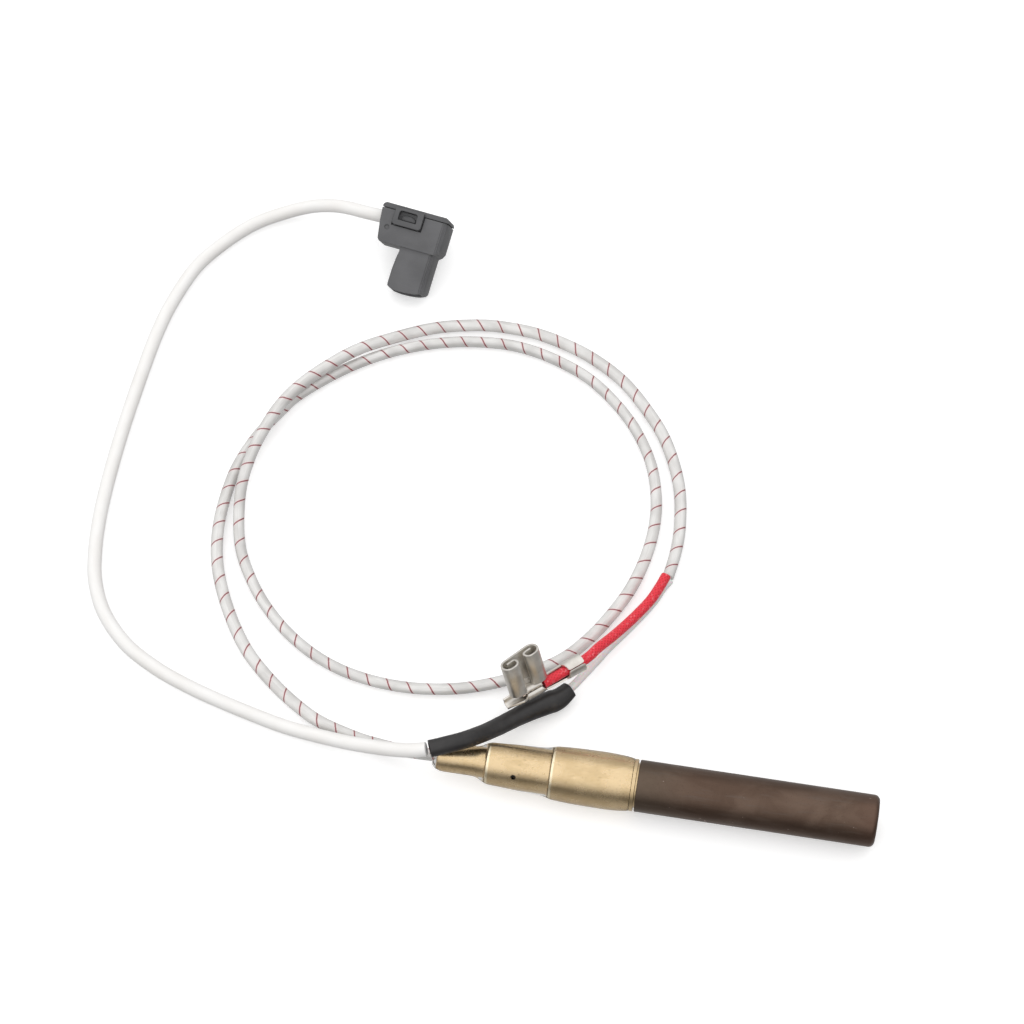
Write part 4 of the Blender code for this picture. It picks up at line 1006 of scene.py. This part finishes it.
def make_housing(mat):
    front, back = BLOCK_FRONT, BLOCK_BACK
    section = [(0.0, 0.0), (0.0, WIDTH)] + ridged_edge(THICK, WIDTH) + [(THICK, 0.0)]
    block = along_y("housing_shell", section, front - PAST, back + PAST, mat)
    outline = [(0.0013, front), (WIDTH - 0.0011, front), (WIDTH - 0.0004, front + 0.0006),
               (WIDTH, front + 0.0014), (WIDTH + 0.0001, back), (0, back), (0.0003, front + 0.0040),
               (0.0009, front + 0.0004)]
    combine(block, prism("outline", outline, -PAST, THICK + PAST, mat), "INTERSECT")
    low, high = 0.0009, 0.0057
    section = [(low, MATE_LEFT), (low, MATE_RIGHT)] + ridged_edge(high, MATE_RIGHT)
    section += [(high, MATE_LEFT + 0.0005), (high - 0.0004, MATE_LEFT)]
    mate = along_y("mate", section, -PAST, front + PAST, mat)
    tip = [(MATE_LEFT, 0.0012), (0.0056, 0.0006), (0.0063, 0.0002), (0.0072, 0.00006), (0.0081, 0.0),
           (0.0098, 0.00005), (0.0110, 0.00017), (0.0120, 0.00035), (0.0131, 0.0008), (0.0134, 0.0011),
           (MATE_RIGHT, 0.0015)]
    waist = [(MATE_RIGHT + 0.0001, front + PAST), (0.0060, front + PAST), (0.0060, front - 0.0010),
             (0.0057, front - 0.0026), (MATE_LEFT, front - 0.0050)]
    combine(mate, prism("mate_outline", tip + waist, 0.0, 0.007, mat), "INTERSECT")
    combine(block, mate, "UNION")
    soften(block, 0.00020, 3, 42)
    rim_high = (WIDTH - RIM, COVER_FRONT - 0.00008, THICK - RIM)
    combine(block, solid_box("rim", (RIM, back - 0.002, RIM), rim_high, mat), "UNION")
    # room for the terminal, opening for the tab, slot for the cable, pocket for the strap
    cutters = [
        ((0.0017, front + 0.0012, 0.0010), (WIDTH - 0.0012, back + PAST, 0.0048), 0.0),
        ((MATE_LEFT + 0.0009, -PAST, 0.0018), (MATE_RIGHT - 0.0009, front + 0.0020, 0.0048), 0.0003),
        ((-PAST, CABLE_Y - CABLE_SLOT, CABLE_Z - CABLE_SLOT),
         (0.0023, back + PAST, CABLE_Z + CABLE_SLOT), 0.0),
        ((0.0028, 0.0128, 0.00543), (0.0094, back + PAST, THICK + PAST), 0.00012),
    ]
    for low, high, bevel in cutters:
        combine(block, solid_box("cut", low, high, mat, bevel), "DIFFERENCE")
    bm = bmesh.new()
    bmesh.ops.create_uvsphere(bm, u_segments=24, v_segments=16, radius=0.00065)
    dimple = finish_mesh("dimple", bm, mat)
    put(dimple, Matrix.Translation((0.0021, 0.01215, THICK + 0.00030)))
    combine(block, dimple, "DIFFERENCE")
    hump = [(0.0044, 0.0143), (0.0076, 0.0143), (0.0076, 0.0149), (0.0073, 0.0152), (0.0067, 0.01545),
            (0.0058, 0.01555), (0.0050, 0.01545), (0.0045, 0.0151)]
    combine(block, prism("catch", hump, 0.0050, 0.00582, mat, bevel=0.0002), "UNION")
    sharpen(block, 32)
    put(block, connector_matrix())
    return settle(block, "body", "black_plastic", "connector_housing")


def rounded_outline(x0, y0, x1, y1, near, far):
    """Rectangle with corners rounded by one radius at its front and another at its back."""
    corners = [(x0 + near, y0 + near, near), (x1 - near, y0 + near, near),
               (x1 - far, y1 - far, far), (x0 + far, y1 - far, far)]
    points = []
    for (x, y, radius), start in zip(corners, (180, 270, 0, 90)):
        points += arc((x, y), radius, start, start + 90, 6)
    return points


def make_cover(mat):
    plate = rounded_outline(0, COVER_FRONT, WIDTH + 0.0001, COVER_BACK, 0.0001, 0.0009)
    cover = prism("rear_cover_shell", plate, HINGE_Z, THICK, mat, bevel=0.00012)
    outline = rounded_outline(0.0030, 0.0130, 0.0092, HINGE_Y, 0.0006, 0.0001)
    strap = prism("strap", outline, 0.0057, 0.0070, mat, bevel=0.00022)
    outline = rounded_outline(0.0040, 0.0141, 0.0080, COVER_FRONT, 0.0001, 0.0006)
    window = prism("window", outline, 0.0047, 0.0080, mat)
    bead = prism("bead", arc((HINGE_Y, HINGE_Z), BEAD, 0, 345, 23), BEAD, WIDTH - BEAD, mat)
    put(bead, Matrix(((0, 0, 1, 0), (1, 0, 0, 0), (0, 1, 0, 0), (0, 0, 0, 1))))
    combine(cover, strap, "UNION")
    combine(cover, window, "DIFFERENCE")
    combine(cover, bead, "UNION")
    sharpen(cover, 32)
    put(cover, connector_matrix())
    return settle(cover, "rear_cover", "black_plastic", "connector_rear_cover")


# ---------------------------------------------------------------- carried-over nodes
def finish_cad_nodes(tin):
    """Materials of the inner pieces, which stay as the CAD made them."""
    mica = ceramic_material("mica_sheet", (0.60, 0.52, 0.40), (0.78, 0.72, 0.60))
    ceramic = ceramic_material("fired_ceramic", (0.78, 0.75, 0.69), (0.88, 0.86, 0.81))
    cement = ceramic_material("potting_cement", (0.62, 0.60, 0.56), (0.76, 0.74, 0.70))
    positive = strand_material("positive_alloy", (0.42, 0.40, 0.38), (0.56, 0.54, 0.51))
    negative = strand_material("negative_alloy", (0.50, 0.43, 0.34), (0.62, 0.55, 0.45))
    nickel = strand_material("nickel_wire", (0.55, 0.53, 0.50), (0.70, 0.68, 0.65))
    chosen = {"mica_liner": mica, "tip_disc": mica, "ceramic_core": ceramic, "cold_end_spacer": ceramic,
              "cement_plug": cement, "positive_tail_wire": nickel, "negative_tail_wire": nickel,
              "connector_terminal": tin, "splice_ferrule": tin, "cable_conductor": nickel}
    for name, node in NODES.items():
        mat = chosen.get(name)
        if name.startswith("positive_element"):
            mat = positive
        elif name.startswith("negative_element"):
            mat = negative
        if mat:
            node.data.materials.clear()
            node.data.materials.append(mat)


def main():
    make_camera()
    make_studio()
    tin = tin_material()
    copper = strand_material("tinned_strands", (0.62, 0.50, 0.42), (0.78, 0.70, 0.62))
    clear = clear_material()
    lead = make_lead()
    white = make_white_cable()
    red = make_red_sleeve()
    jacket, path, strands = make_negative_wire(copper)
    nylon = plastic_material("black_nylon", (0.100, 0.100, 0.104), (0.122, 0.122, 0.127))
    cover_nylon = plastic_material("black_nylon_cover", (0.082, 0.082, 0.086), (0.104, 0.104, 0.108))
    pieces = {"shrink": make_black_sleeve(), "flag": make_flag_terminal(tin), "strands": strands,
              "conductor": make_conductor(copper), "housing": make_housing(nylon),
              "cover": make_cover(cover_nylon)}
    make_sheath()
    make_brass()
    make_clear_sleeve(clear)
    finish_cad_nodes(tin)


main()
